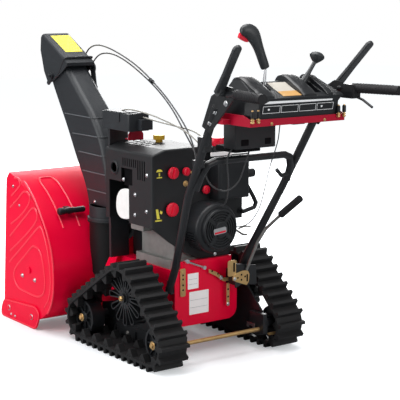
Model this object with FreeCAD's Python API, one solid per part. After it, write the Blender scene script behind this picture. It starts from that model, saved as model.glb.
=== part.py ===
import FreeCAD, Part
import math
import os

# Tracked two-stage snow blower, millimetres.
# +X is the operator's right, +Y is forward (auger end), +Z is up.
# The origin lies on the ground, under the drive axle, midway between the tracks.

os.makedirs("parts", exist_ok=True)
V = FreeCAD.Vector

# ---- driving dimensions -------------------------------------------------------------
SEAT = 0.3                 # gap left between curved faces of different pieces
RUN = 0.05                 # radial running clearance of shafts in bores
SHEET = 4.0                # sheet-metal thickness of the housings

# track unit
TRACK_OUT = 343.0          # outer face of each track from the middle
TRACK_W = 126.0
AXLE_Z = 236.0             # drive axle height
DRIVE_R = 111.0            # inside of the belt over the drive wheel
IDLER_R = 68.0             # inside of the belt over the two idlers
BELT = 9.0
LUG_H = 20.0
LUG_COUNT = 38
IDLER_Z = IDLER_R + BELT + LUG_H
FRONT_IDLER_Y = 305.0
REAR_IDLER_Y = -208.0
AXLE_R = 12.5
PIN_R = 9.0
WHEEL_W = 56.0
GUIDE_W = 26.0
GUIDE_H = 28.0             # guide teeth on every second bar of the belt
FINGERS = 12               # looped fingers of each drive sprocket
# centre and inner radius of the belt round each wheel, front to rear
WHEELS = [(FRONT_IDLER_Y, IDLER_Z, IDLER_R), (0.0, AXLE_Z, DRIVE_R), (REAR_IDLER_Y, IDLER_Z, IDLER_R)]
FRAME_IN = 192.0           # inner face of the track frame plates
FRAME_T = 8.0
ROD_Y = -224.0             # cross rod between the rear ends of the track frames
ROD_Z = 86.0

# frame box between the tracks
BOX_HALF = 150.0
BOX_REAR = -110.0
BOX_TOP = 338.0
BOX_FLOOR = 115.0

# auger housing
HOUSE_HALF = 390.0
AUGER_Y = 610.0
AUGER_Z = 245.0
SHELL_R = 210.0
AUGER_R = 182.0
AUGER_SHAFT_R = 14.0
FLIGHT_X = 64.0            # where the flights begin, beside the gearbox
FLIGHT_L = HOUSE_HALF - 90.0
FLIGHT_PITCH = 330.0
FLIGHT_T = 6.0
DRIFT_Y = 745.0            # two bolt holes in each side plate for a drift cutter bar
DRIFT_Z = 548.0
DRIFT_PITCH = 76.0
DRIFT_HOLE_R = 4.5
FRONT_TOP = (796.0, 610.0)
FRONT_LOW = (842.0, 83.0)

# impeller drum and outlet neck
DRUM_R = 190.0
DRUM_BACK = 270.0
IMPELLER_R = 176.0
IMPELLER_SHAFT_R = 12.5
CHUTE_X = -118.0
CHUTE_Y = 395.0
NECK_R = 90.0
NECK_TOP = 466.0
RING_R = 98.0

# chute and hood
CHUTE_HALF = 54.0
CHUTE_TOP = 1040.0
HINGE_Y = 768.0
HINGE_Z = 1043.0
CHUTE_BACK = [(310, 474), (355, 730), (494, 936), (690, 1122)]     # (Y, Z) ends of its tangent arcs
CHUTE_LEAN = 1.5           # degrees from upright at the foot
CHUTE_FRONT = [(780, 1030), (712, 925), (648, 829), (568, 697), (515, 616), (478, 500), (478, 474)]
CHUTE_RIBS = [((668, 887), (503, 883)), ((604, 808), (410, 809)), ((556, 736), (397, 732)),
              ((526, 659), (360, 658)), ((488, 584), (362, 584))]
RIB = 2.5                  # how far the chute's ribs stand out

# engine
ENG_LEFT = -230.0
ENG_RIGHT = 198.0
ENG_REAR = -80.0
ENG_FRONT = 252.0
ENG_TOP = 787.0             # left shoulder of the cowl
ENG_RIGHT_TOP = 770.0
CROWN = 806.0
GEAR_FLOOR = CROWN + 56.0  # underside of the chute's gear case
GEAR_TOP = CROWN + 124.0

# handlebars and console
TUBE_R = 15.0
CONSOLE_HALF = 200.0
LEVER_X = 268.0            # pivot of the right hand lever
LEVER_Y = -548.0
LEVER_Z = 1060.0
TRAY_Z = 943.0             # underside of the tray below the console
TRAY_T = 4.0
HUMP = 13.0                # height of the ridges on the console
HANDLE_ROUTE = [(BOX_HALF + TUBE_R + SEAT, -92, 262), (168, -141, 360), (221, -300, 660), (240, -458, 930),
                (248, -505, 1005)]
JOYSTICK_STEM = ((-84, -560, 1020), (-84, -557, 1142), 5.0)    # foot, top and radius
SHIFT_STEM = ((88, -562, 1010), (148, -560, 1154), 6.0)

# Control cables: points of each run from the chute end to the handlebar.
CABLE_R = 3.0
HOOD_CABLE_UPPER = [(-43, 716, 1116), (-43, 694, 1146), (-46, 648, 1166), (-56, 585, 1174), (-68, 514, 1171),
                    (-79, 438, 1161), (-90, 362, 1147), (-101, 286, 1130), (-112, 212, 1111),
                    (-123, 140, 1088), (-135, 70, 1063), (-147, 2, 1036), (-159, -62, 1010),
                    (-171, -122, 982), (-183, -178, 954), (-195, -230, 926), (-209, -278, 900),
                    (-218, -318, 866), (-223, -343, 833), (-226, -356, 802.3)]
HOOD_CABLE_LOWER = [(-43, 646, 1098.4), (-45, 614, 1122), (-56, 562, 1137), (-68, 498, 1144),
                    (-79, 428, 1142), (-90, 356, 1132), (-101, 284, 1116), (-113, 212, 1097),
                    (-125, 140, 1075), (-137, 70, 1052), (-149, 2, 1027), (-161, -62, 1000),
                    (-174, -122, 972), (-188, -178, 943), (-202, -230, 912), (-210, -274, 880),
                    (-214, -309, 852), (-216, -336, 826), (-217, -355, 802.3)]
GEAR_CABLE_UPPER = [(-180, 228, GEAR_TOP - 3), (-182, 190, GEAR_TOP + 8), (-186, 140, GEAR_TOP + 13),
                    (-190, 82, GEAR_TOP + 13), (-196, 10, GEAR_TOP + 9), (-203, -62, GEAR_TOP + 3),
                    (-210, -134, GEAR_TOP - 6), (-216, -206, GEAR_TOP - 17), (-222, -274, 901),
                    (-227, -334, 884), (-229, -388.2, 858)]
GEAR_CABLE_LOWER = [(-160, 89, GEAR_TOP - 15), (-163, 50, GEAR_TOP - 16), (-169, 0, GEAR_TOP - 19),
                    (-175, -62, GEAR_TOP - 22), (-181, -128, GEAR_TOP - 24), (-188, -194, 904),
                    (-196, -256, 903), (-206, -312, 900), (-215, -354, 894), (-221, -388.2, 885)]


# ---- small helpers ------------------------------------------------------------------
def box(x0, x1, y0, y1, z0, z1):
    return Part.makeBox(x1 - x0, y1 - y0, z1 - z0, V(x0, y0, z0))


def cyl_x(y, z, r, x0, x1):
    return Part.makeCylinder(r, x1 - x0, V(x0, y, z), V(1, 0, 0))


def cyl_y(x, z, r, y0, y1):
    return Part.makeCylinder(r, y1 - y0, V(x, y0, z), V(0, 1, 0))


def cyl_z(x, y, r, z0, z1):
    return Part.makeCylinder(r, z1 - z0, V(x, y, z0), V(0, 0, 1))


def prism_x(points, x0, x1):
    """Straight-sided outline in the side view (y, z), as thick as x0 to x1."""
    corners = [V(x0, y, z) for y, z in points]
    return Part.Face(Part.makePolygon(corners + corners[:1])).extrude(V(x1 - x0, 0, 0))


def prism_y(points, y0, y1):
    """Straight-sided outline in the front view (x, z), as deep as y0 to y1."""
    corners = [V(x, y0, z) for x, z in points]
    return Part.Face(Part.makePolygon(corners + corners[:1])).extrude(V(0, y1 - y0, 0))


def rod(points, r):
    """Round bar or tube through the points, with a ball at each bend."""
    pieces = []
    for a, b in zip(points, points[1:]):
        start = V(*a)
        along = V(*b) - start
        pieces.append(Part.makeCylinder(r, along.Length, start, along))
    for p in points[1:-1]:
        pieces.append(Part.makeSphere(r, V(*p)))
    return fuse(pieces)


def fuse(pieces):
    if len(pieces) == 1:
        return pieces[0]
    return pieces[0].multiFuse(pieces[1:]).removeSplitter()


def mirrored(shape):
    return shape.mirror(V(0, 0, 0), V(1, 0, 0))


def rounded(shape, r, picks):
    """Fillet the edges for which picks(edge) is true."""
    return shape.makeFillet(r, [e for e in shape.Edges if picks(e)])


def along_x(edge):
    p = [v.Point for v in edge.Vertexes]
    return len(p) == 2 and abs(p[0].y - p[1].y) < 1e-6 and abs(p[0].z - p[1].z) < 1e-6


def along_z(edge):
    p = [v.Point for v in edge.Vertexes]
    return len(p) == 2 and abs(p[0].x - p[1].x) < 1e-6 and abs(p[0].y - p[1].y) < 1e-6


def save(name, shape):
    if isinstance(shape, Part.Compound) and len(shape.Solids) == 1:
        shape = shape.Solids[0]
    if len(shape.Solids) != 1 or not shape.isValid():
        print("LOOK AT", name, len(shape.Solids), shape.isValid())
    shape.exportStep("parts/" + name + ".step")


# ---- tracks -------------------------------------------------------------------------

def loop_runs(grow):
    """Straight runs of the belt round the three wheels: start, end and outward normal."""
    runs = []
    for i, (y0, z0, r0) in enumerate(WHEELS):
        y1, z1, r1 = WHEELS[(i + 1) % len(WHEELS)]
        length = math.hypot(y1 - y0, z1 - z0)
        dy, dz = (y1 - y0) / length, (z1 - z0) / length
        lean = (r0 - r1) / length
        flat = math.sqrt(1 - lean * lean)
        ny, nz = dz * flat + dy * lean, -dy * flat + dz * lean
        a = (y0 + (r0 + grow) * ny, z0 + (r0 + grow) * nz)
        b = (y1 + (r1 + grow) * ny, z1 + (r1 + grow) * nz)
        runs.append((a, b, (ny, nz)))
    return runs


def loop_wire(grow, x):
    runs = loop_runs(grow)
    edges = []
    for i, (a, b, n) in enumerate(runs):
        after = runs[(i + 1) % len(runs)]
        y, z, r = WHEELS[(i + 1) % len(WHEELS)]
        my, mz = n[0] + after[2][0], n[1] + after[2][1]
        size = math.hypot(my, mz)
        mid = V(x, y + (r + grow) * my / size, z + (r + grow) * mz / size)
        edges.append(Part.makeLine(V(x, *a), V(x, *b)))
        edges.append(Part.Arc(V(x, *b), mid, V(x, *after[0])).toShape())
    return Part.Wire(edges)


def loop_stations(count):
    """Evenly spaced places on the outside of the belt, each with its outward direction."""
    runs = loop_runs(BELT)
    legs = []
    for i, (a, b, n) in enumerate(runs):
        after = runs[(i + 1) % len(runs)][2]
        turn = math.acos(n[0] * after[0] + n[1] * after[1])
        y, z, r = WHEELS[(i + 1) % len(WHEELS)]
        legs.append((math.hypot(b[0] - a[0], b[1] - a[1]), a, b, n))
        legs.append(((r + BELT) * turn, (y, z), r + BELT, math.atan2(n[1], n[0])))
    step = sum(leg[0] for leg in legs) / count
    places = []
    for k in range(count):
        left = (k + 0.5) * step
        for leg in legs:
            if left <= leg[0]:
                break
            left -= leg[0]
        if isinstance(leg[2], tuple):
            a, b, n = leg[1:]
            t = left / leg[0]
            places.append((a[0] + (b[0] - a[0]) * t, a[1] + (b[1] - a[1]) * t, n))
        else:
            angle = leg[3] + left / leg[2]
            n = (math.cos(angle), math.sin(angle))
            places.append((leg[1][0] + leg[2] * n[0], leg[1][1] + leg[2] * n[1], n))
    return places


def bar_on(y, z, n, foot, tip, low, high, x0, x1):
    """Tapered cross bar standing on the belt at (y, z), from low to high along n."""
    ty, tz = -n[1], n[0]
    outline = [
        (y + n[0] * low + ty * foot / 2, z + n[1] * low + tz * foot / 2),
        (y + n[0] * high + ty * tip / 2, z + n[1] * high + tz * tip / 2),
        (y + n[0] * high - ty * tip / 2, z + n[1] * high - tz * tip / 2),
        (y + n[0] * low - ty * foot / 2, z + n[1] * low - tz * foot / 2),
    ]
    return prism_x(outline, x0, x1)


def track():
    x0, x1 = TRACK_OUT - TRACK_W, TRACK_OUT
    ring = Part.Face(loop_wire(BELT, x0)).cut(Part.Face(loop_wire(0.0, x0)))
    belt = ring.extrude(V(TRACK_W, 0, 0))
    pieces = [belt]
    for k, (y, z, n) in enumerate(loop_stations(LUG_COUNT)):
        pieces.append(bar_on(y, z, n, 22.0, 12.0, -3.0, LUG_H, x0, x1))
        if k % 2 == 0:
            for g0 in (x0 + 6.0, x1 - 6.0 - GUIDE_W):
                pieces.append(bar_on(y, z, n, 48.0, 8.0, -BELT + 2.0, -BELT - GUIDE_H, g0, g0 + GUIDE_W))
    return fuse(pieces)


def finger(x0, x1):
    """One looped finger of the sprocket, from the hub up to the belt."""
    tip = AXLE_Z + DRIVE_R - SEAT - 13.0
    outer = prism_x([(-6, AXLE_Z + 18), (-13, tip), (13, tip), (6, AXLE_Z + 18)], x0, x1)
    outer = outer.fuse(cyl_x(0, tip, 13.0, x0, x1))
    inner = prism_x([(-2.5, AXLE_Z + 42), (-9.5, tip), (9.5, tip), (2.5, AXLE_Z + 42)], x0 - 1, x1 + 1)
    inner = inner.fuse(cyl_x(0, tip, 9.5, x0 - 1, x1 + 1))
    return outer.cut(inner)


def drive_wheel():
    """Drive sprocket: hub, thin web and looped fingers that push the belt round."""
    mid = TRACK_OUT - TRACK_W / 2
    x0, x1 = mid - WHEEL_W / 2, mid + WHEEL_W / 2
    pieces = [cyl_x(0, AXLE_Z, 26.0, x0 - 4.0, x1 + 4.0), cyl_x(0, AXLE_Z, 46.0, mid - 8.0, mid + 8.0)]
    for i in range(FINGERS):
        loop = finger(x0, x1)
        loop.rotate(V(0, 0, AXLE_Z), V(1, 0, 0), i * 360.0 / FINGERS)
        pieces.append(loop)
    return fuse(pieces).cut(cyl_x(0, AXLE_Z, AXLE_R + RUN, x0 - 5.0, x1 + 5.0))


def idler(y):
    """Dished idler wheel with eight ribs between hub and rim."""
    mid = TRACK_OUT - TRACK_W / 2
    x0, x1 = mid - WHEEL_W / 2, mid + WHEEL_W / 2
    wheel = cyl_x(y, IDLER_Z, IDLER_R - SEAT, x0, x1)
    wheel = wheel.cut(cyl_x(y, IDLER_Z, IDLER_R - 10.0, x1 - 14.0, x1 + 1.0))
    pieces = [wheel, cyl_x(y, IDLER_Z, 22.0, x0, x1)]
    for i in range(8):
        rib = box(x1 - 15.0, x1 - 4.0, y - 2.0, y + 2.0, IDLER_Z + 20.0, IDLER_Z + IDLER_R - 8.0)
        rib.rotate(V(0, y, IDLER_Z), V(1, 0, 0), i * 45.0)
        pieces.append(rib)
    return fuse(pieces).cut(cyl_x(y, IDLER_Z, PIN_R + RUN, x0 - 1.0, x1 + 1.0))


def track_frame():
    """Side plate inboard of the track with the idler pins and the axle eye."""
    x0, x1 = FRAME_IN, FRAME_IN + FRAME_T
    plate = prism_x([(-245, 64), (-252, 118), (-80, 283), (-30, AXLE_Z + 72), (40, AXLE_Z + 72), (78, 262),
                     (190, 178), (287, 150), (340, 138), (340, 78), (0, 70)], x0, x1)
    pieces = [plate, cyl_x(0, AXLE_Z, 34.0, x0 - 4.0, x1)]
    mid = TRACK_OUT - TRACK_W / 2
    for y in (FRONT_IDLER_Y, REAR_IDLER_Y):
        pieces.append(cyl_x(y, IDLER_Z, PIN_R, x0, mid + WHEEL_W / 2 + 12.0))
        pieces.append(cyl_x(y, IDLER_Z, 20.0, x0, mid - WHEEL_W / 2 - SEAT))
        pieces.append(cyl_x(y, IDLER_Z, 15.0, mid + WHEEL_W / 2 + SEAT, mid + WHEEL_W / 2 + 10.0))
    return fuse(pieces).cut(cyl_x(0, AXLE_Z, AXLE_R + RUN, x0 - 5.0, x1 + 1.0))


def drive_axle():
    mid = TRACK_OUT - TRACK_W / 2
    end = mid + WHEEL_W / 2 + 14.0
    return fuse([
        cyl_x(0, AXLE_Z, AXLE_R, -end, end),
        cyl_x(0, AXLE_Z, 18.0, mid + WHEEL_W / 2 + 4.0 + SEAT, end),
        cyl_x(0, AXLE_Z, 18.0, -end, -mid - WHEEL_W / 2 - 4.0 - SEAT),
    ])


def cross_rod():
    return fuse([
        cyl_x(ROD_Y, ROD_Z, 8.0, -FRAME_IN, FRAME_IN),
        cyl_x(ROD_Y, ROD_Z, 14.0, -FRAME_IN, -FRAME_IN + 6.0),
        cyl_x(ROD_Y, ROD_Z, 14.0, FRAME_IN - 6.0, FRAME_IN),
    ])


# ---- auger housing ------------------------------------------------------------------
def house_outline(x, inset):
    """Side outline: round back, swept top, straight front edge, level floor."""
    def on_shell(degrees):
        turn = math.radians(degrees)
        r = SHELL_R - inset
        return V(x, AUGER_Y - r * math.cos(turn), AUGER_Z + r * math.sin(turn))

    low, back, high = on_shell(-90), on_shell(0), on_shell(28)
    crest = V(x, 520.0 + inset * 0.8, 492.0 - inset * 0.6)
    top = V(x, 768.0, 641.0 - inset)
    nose = V(x, *FRONT_TOP)
    toe = V(x, *FRONT_LOW)
    foot = V(x, 842.0, AUGER_Z - SHELL_R + inset)
    return [
        Part.Arc(low, on_shell(-45), back).toShape(),
        Part.Arc(back, on_shell(14), high).toShape(),
        Part.Arc(high, crest, top).toShape(),
        Part.makeLine(top, nose),
        Part.makeLine(nose, toe),
        Part.makeLine(toe, foot),
        Part.makeLine(foot, low),
    ]


def house_block(half, inset):
    face = Part.Face(Part.Wire(house_outline(-half, inset)))
    return face.extrude(V(2 * half, 0, 0))


def auger_housing():
    body = house_block(HOUSE_HALF, 0.0)
    inner = house_block(HOUSE_HALF - SHEET, SHEET)
    slot = [(700, -10), (900, -10), (900, 700), (768, 700), (700, 560)]
    front = prism_x(slot, -HOUSE_HALF + SHEET, HOUSE_HALF - SHEET)
    front = front.cut(prism_x([(690, 600), (690, 720), (768, 720), (768, 637)], -HOUSE_HALF, HOUSE_HALF))
    body = body.cut(inner).cut(front)
    body = body.cut(cyl_y(0, AUGER_Z, DRUM_R - SHEET, 300, AUGER_Y))
    for side in (-1, 1):
        x0 = side * (HOUSE_HALF - 12.0) if side < 0 else HOUSE_HALF - 12.0
        boss = cyl_x(AUGER_Y, AUGER_Z, 34.0, min(x0, side * HOUSE_HALF), max(x0, side * HOUSE_HALF))
        body = body.fuse(boss)
    for z in (DRIFT_Z - DRIFT_PITCH / 2, DRIFT_Z + DRIFT_PITCH / 2):
        body = body.cut(cyl_x(DRIFT_Y, z, DRIFT_HOLE_R, -HOUSE_HALF - 9, HOUSE_HALF + 9))
    return body.cut(cyl_x(AUGER_Y, AUGER_Z, AUGER_SHAFT_R + RUN, -HOUSE_HALF - 9, HOUSE_HALF + 9))


def skid():
    outline = [(516, 72), (554, 0), (862, 0), (864, 29), (838, 80), (549, 103)]
    plate = prism_x(outline, HOUSE_HALF, HOUSE_HALF + 6.0)
    plate = rounded(plate, 18.0, lambda e: along_x(e) and e.BoundBox.Center.z > 20)
    heads = [cyl_x(y, 49, 9.0, HOUSE_HALF + 5.0, HOUSE_HALF + 10.0) for y in (589, 789)]
    return fuse([plate] + heads)


def scraper():
    floor = AUGER_Z - SHELL_R
    return box(-HOUSE_HALF + SHEET + 1, HOUSE_HALF - SHEET - 1, 655, 715, floor - 8.0, floor)


def impeller_drum():
    """Round drum behind the auger with the outlet neck and its flange."""
    drum = cyl_y(0, AUGER_Z, DRUM_R, DRUM_BACK, 520)
    neck = cyl_z(CHUTE_X, CHUTE_Y, NECK_R, AUGER_Z, NECK_TOP)
    flange = cyl_z(CHUTE_X, CHUTE_Y, RING_R, NECK_TOP - 6.0, NECK_TOP)
    body = fuse([drum, neck, flange])
    body = body.cut(cyl_y(0, AUGER_Z, DRUM_R - SHEET, DRUM_BACK + SHEET, 530))
    body = body.cut(cyl_z(CHUTE_X, CHUTE_Y, NECK_R - SHEET, AUGER_Z, NECK_TOP + 1))
    body = body.cut(house_block(HOUSE_HALF, 0.0))
    body = body.cut(cyl_y(0, AUGER_Z, IMPELLER_SHAFT_R + RUN, DRUM_BACK - 1, DRUM_BACK + 30))
    return max(body.Solids, key=lambda s: s.Volume)


def ribbon(side, start):
    """One helical flight, from the gearbox out to the side plate."""
    inner = AUGER_R - 55.0
    edges = []
    for r in (inner, AUGER_R):
        edges.append(Part.makeHelix(FLIGHT_PITCH, FLIGHT_L, r).Edges[0])
    sheet = Part.makeRuledSurface(edges[0], edges[1])
    solid = sheet.extrude(V(0, 0, FLIGHT_T))
    solid.rotate(V(0, 0, 0), V(0, 0, 1), start)
    solid.rotate(V(0, 0, 0), V(0, 1, 0), 90)
    solid.translate(V(FLIGHT_X, AUGER_Y, AUGER_Z))
    if side < 0:
        solid = mirrored(solid)
    return solid


def auger():
    pieces = [cyl_x(AUGER_Y, AUGER_Z, AUGER_SHAFT_R, -HOUSE_HALF - 6, HOUSE_HALF + 6)]
    for side in (-1, 1):
        sleeve = cyl_x(AUGER_Y, AUGER_Z, 22.0, FLIGHT_X - 2.0, HOUSE_HALF - 14.0)
        pieces.append(sleeve if side > 0 else mirrored(sleeve))
        for start in (0.0, 180.0):
            pieces.append(ribbon(side, start))
            for k in (0.06, 0.5, 0.94):
                angle = start + 360.0 * k * FLIGHT_L / FLIGHT_PITCH
                x = FLIGHT_X + FLIGHT_L * k + FLIGHT_T / 2
                arm = Part.makeCylinder(7.0, AUGER_R - 20.0, V(0, 0, 0), V(1, 0, 0))
                arm.rotate(V(0, 0, 0), V(0, 0, 1), angle)
                arm.rotate(V(0, 0, 0), V(0, 1, 0), 90)
                arm.translate(V(x, AUGER_Y, AUGER_Z))
                pieces.append(arm if side > 0 else mirrored(arm))
    return fuse(pieces)


def auger_gearbox():
    case = cyl_x(AUGER_Y, AUGER_Z, 52.0, -56, 56)
    neck = cyl_y(0, AUGER_Z, 28.0, AUGER_Y - 120, AUGER_Y)
    body = fuse([case, neck])
    body = body.cut(cyl_x(AUGER_Y, AUGER_Z, AUGER_SHAFT_R + RUN, -60, 60))
    return body.cut(cyl_y(0, AUGER_Z, IMPELLER_SHAFT_R + RUN, AUGER_Y - 130, AUGER_Y - 24))


def impeller():
    pieces = [
        cyl_y(0, AUGER_Z, IMPELLER_SHAFT_R, DRUM_BACK - 24, AUGER_Y - 26),
        cyl_y(0, AUGER_Z, 30.0, 300, 410),
    ]
    for i in range(4):
        blade = box(-3, 3, 292, 392, AUGER_Z + 20, AUGER_Z + IMPELLER_R)
        tip = box(-3, 22, 292, 392, AUGER_Z + IMPELLER_R - 10, AUGER_Z + IMPELLER_R - 4)
        paddle = fuse([blade, tip])
        paddle.rotate(V(0, 0, AUGER_Z), V(0, 1, 0), 45 + i * 90)
        pieces.append(paddle)
    return fuse(pieces)


# ---- chute and hood -----------------------------------------------------------------


def tangent_arcs(points, lean):
    """Arcs in the YZ plane through the points, each tangent to the one before; lean is from upright."""
    heading = math.radians(lean)
    arcs = []
    for a, b in zip(points, points[1:]):
        chord = b - a
        half = math.atan2(chord.y, chord.z) - heading
        across = V(0, -chord.z, chord.y) * (0.5 * math.tan(half / 2))
        arcs.append(Part.Arc(a, (a + b) * 0.5 + across, b).toShape())
        heading += 2 * half
    return arcs


def chute_face(x, inset):
    back = [V(x, y + inset * 0.8, z - inset * 0.5) for y, z in CHUTE_BACK]
    front = Part.BSplineCurve()
    front.interpolate([V(x, y + inset, z) for y, z in CHUTE_FRONT[:-1]])
    last = V(x, CHUTE_FRONT[-1][0] + inset, CHUTE_FRONT[-1][1])
    edges = tangent_arcs(back, CHUTE_LEAN) + [
        Part.makeLine(back[-1], front.StartPoint),
        front.toShape(),
        Part.makeLine(front.EndPoint, last),
        Part.makeLine(last, back[0]),
    ]
    return Part.Face(Part.Wire(edges))


def chute_block(half, inset, corner):
    """Solid chute channel, its two long back corners rounded."""
    solid = chute_face(CHUTE_X - half, inset).extrude(V(2 * half, 0, 0))
    return rounded(solid, corner, lambda e: e.BoundBox.XLength < 0.01 and e.BoundBox.ZLength > 60
                   and e.BoundBox.YMax < 720)


def cable_bracket():
    """Bracket on the right of the chute that holds the sheaths of the two hood cables."""
    x0, x1 = CHUTE_X + CHUTE_HALF + 17.5, CHUTE_X + CHUTE_HALF + 21.5
    arm = prism_x([(612, 968), (650, 968), (662, 1060), (728, 1096), (728, 1113.7), (708, 1113.7),
                   (640, 1088), (628, 1060)], x0, x1)
    return [
        box(CHUTE_X + CHUTE_HALF - 2.0, x1, 612, 650, 968, 1000),
        arm,
        cyl_x(648, 1074, 21.0, x0, x1 + 2.0),
        box(x0, x1 + 3.0, 640, 656, 1080, 1095.8),
        box(x0, x1 + 3.0, 708, 728, 1096, 1113.7),
    ]


def chute():
    """Discharge chute: ring and short tube at the foot, ribbed channel open to the front above."""
    shell = chute_block(CHUTE_HALF, 0.0, 22.0)
    hollow = chute_block(CHUTE_HALF - SHEET, SHEET, 18.0)
    skin = chute_block(CHUTE_HALF + RIB, -RIB, 22.0 + RIB)
    pieces = [shell]
    for (y0, z0), (y1, z1) in CHUTE_RIBS:
        band = prism_x([(y0 + 20, z0 - 2), (y0 + 20, z0 + 2), (y1 - 85, z1 + 2), (y1 - 85, z1 - 2)],
                       CHUTE_X - CHUTE_HALF - 9, CHUTE_X + CHUTE_HALF + 9)
        front = prism_x([(y0, z0 - 20), (y0 + 60, z0 - 20), (y0 + 60, z0 + 20), (y0, z0 + 20)],
                        CHUTE_X - CHUTE_HALF - 9, CHUTE_X + CHUTE_HALF + 9)
        pieces.append(skin.common(band).cut(front))
    channel = fuse(pieces).cut(hollow)
    low = NECK_TOP + SEAT
    tube = cyl_z(CHUTE_X, CHUTE_Y, NECK_R, low, low + 60.0)
    ring = cyl_z(CHUTE_X, CHUTE_Y, RING_R, low, low + 12.0)
    foot = fuse([tube, ring]).cut(cyl_z(CHUTE_X, CHUTE_Y, NECK_R - SHEET, low - 1, low + 80.0))
    clear = cyl_z(CHUTE_X, CHUTE_Y, NECK_R - SHEET, low - 1, low + 60.0)
    return fuse([channel.cut(clear), foot] + cable_bracket())


def hood():
    """Deflector cap over the top of the chute, turning on two pins."""
    half = CHUTE_HALF + 12.0
    outline = [(786, 1004), (820, 1056), (848, 1146), (842, 1200), (826, 1216),
               (640, 1118), (622, 1100), (626, 1088), (666, 1061), (744, 1018)]
    inner = [(786, 980), (900, 1056), (900, 1190), (840, 1198), (826, 1207),
             (644, 1111), (631, 1094), (631, 980)]
    cap = prism_x(outline, CHUTE_X - half, CHUTE_X + half)
    cap = rounded(cap, 12.0, lambda e: e.BoundBox.XLength < 0.01 and e.BoundBox.YLength > 150)
    cap = cap.cut(prism_x(inner, CHUTE_X - half + SHEET, CHUTE_X + half - SHEET))
    left = CHUTE_X - half
    wing = [(742, 1052), (757, 1054), (784, 1008), (773, 1000), (744, 1024)]
    pieces = [cap, cyl_x(750, 1042, 14.0, left - 12.0, left), prism_x(wing, left - 9.0, left)]
    for side in (-1, 1):
        a = CHUTE_X + side * (CHUTE_HALF + SEAT)
        b = CHUTE_X + side * (half - SHEET)
        pieces.append(cyl_x(HINGE_Y, HINGE_Z, 12.0, min(a, b), max(a, b)))
    return fuse(pieces)


# ---- frame box, belt cover and engine -----------------------------------------------
def frame_box():
    """Welded box between the tracks, with rounded lower corners and the axle bores."""
    outside = box(-BOX_HALF, BOX_HALF, BOX_REAR, DRUM_BACK, BOX_FLOOR, BOX_TOP)
    inside = box(-BOX_HALF + SHEET, BOX_HALF - SHEET, BOX_REAR + SHEET, DRUM_BACK - SHEET,
                 BOX_FLOOR + SHEET, BOX_TOP - SHEET)

    def lower(e):
        p = e.BoundBox.Center
        return e.BoundBox.YLength > 100 and p.z < BOX_FLOOR + 10

    outside = rounded(outside, 45.0, lower)
    inside = rounded(inside, 45.0 - SHEET, lower)
    body = outside.cut(inside)
    for side in (-1, 1):
        x0 = min(side * BOX_HALF, side * (BOX_HALF + 30.0))
        body = body.fuse(cyl_x(0, AXLE_Z, 30.0, x0, x0 + 30.0))
    body = body.fuse(box(-112, 122, BOX_REAR, BOX_REAR + 16.0, BOX_TOP - 1, BOX_TOP + 32.0))
    body = body.cut(cyl_y(0, AUGER_Z, IMPELLER_SHAFT_R + RUN, DRUM_BACK - 9, DRUM_BACK + 1))
    return body.cut(cyl_x(0, AXLE_Z, AXLE_R + RUN, -BOX_HALF - 31, BOX_HALF + 31))


def belt_cover():
    cover = box(-92, 92, 200, DRUM_BACK, BOX_TOP, 500)
    return rounded(cover, 30.0, lambda e: e.BoundBox.YLength > 60 and e.BoundBox.Center.z > 490)


def engine_block():
    """Crankcase on the frame box and the finned cylinder reaching out to the left."""
    base = box(-142, 118, -70, 170, BOX_TOP, BOX_TOP + 34.0)
    case = box(-120, 110, -60, 160, BOX_TOP + 34.0, 500)
    cylinder = cyl_x(110, 560, 50, -212, -60)
    head = box(-214, -176, 70, 186, 512, 632)
    head = rounded(head, 22.0, along_x)
    web = box(-176, -60, 66, 154, 470, 612)
    return fuse([base, case, cylinder, head, web])


def cowl_outline(inset):
    """Rear view of the cowl above its shoulders' feet, drawn in from the outside by inset."""
    left, right = ENG_LEFT + inset, ENG_RIGHT - inset
    return [(left, 508), (left, ENG_TOP - 0.6 * inset), (-170 + 0.3 * inset, CROWN - inset),
            (20 - 0.2 * inset, CROWN - inset), (right, ENG_RIGHT_TOP - inset), (right, 508)]


def cowl_cuts():
    """Slots, round hole and window in the left side, vents in the roof."""
    x0, x1 = ENG_LEFT - 1.0, ENG_LEFT + 6.0
    cuts = [box(x0, x1, 84, 226, 500, 664), box(x0, x1, 58, 138, 656, 720), cyl_x(186, 716, 20.0, x0, x1)]
    for k in range(11):
        y = 124.0 - 15.0 * k
        low = 728.0 if y > 30 else 684.0
        cuts.append(box(x0, x1, y - 3.5, y + 3.5, low, 760.0))
    for x in (-145, -112, -79):
        for k in range(5):
            y = 80.0 + 40.0 * k
            cuts.append(box(x - 12, x + 12, y - 13, y + 13, CROWN - 8.0, CROWN + 1.0))
    return cuts


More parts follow.
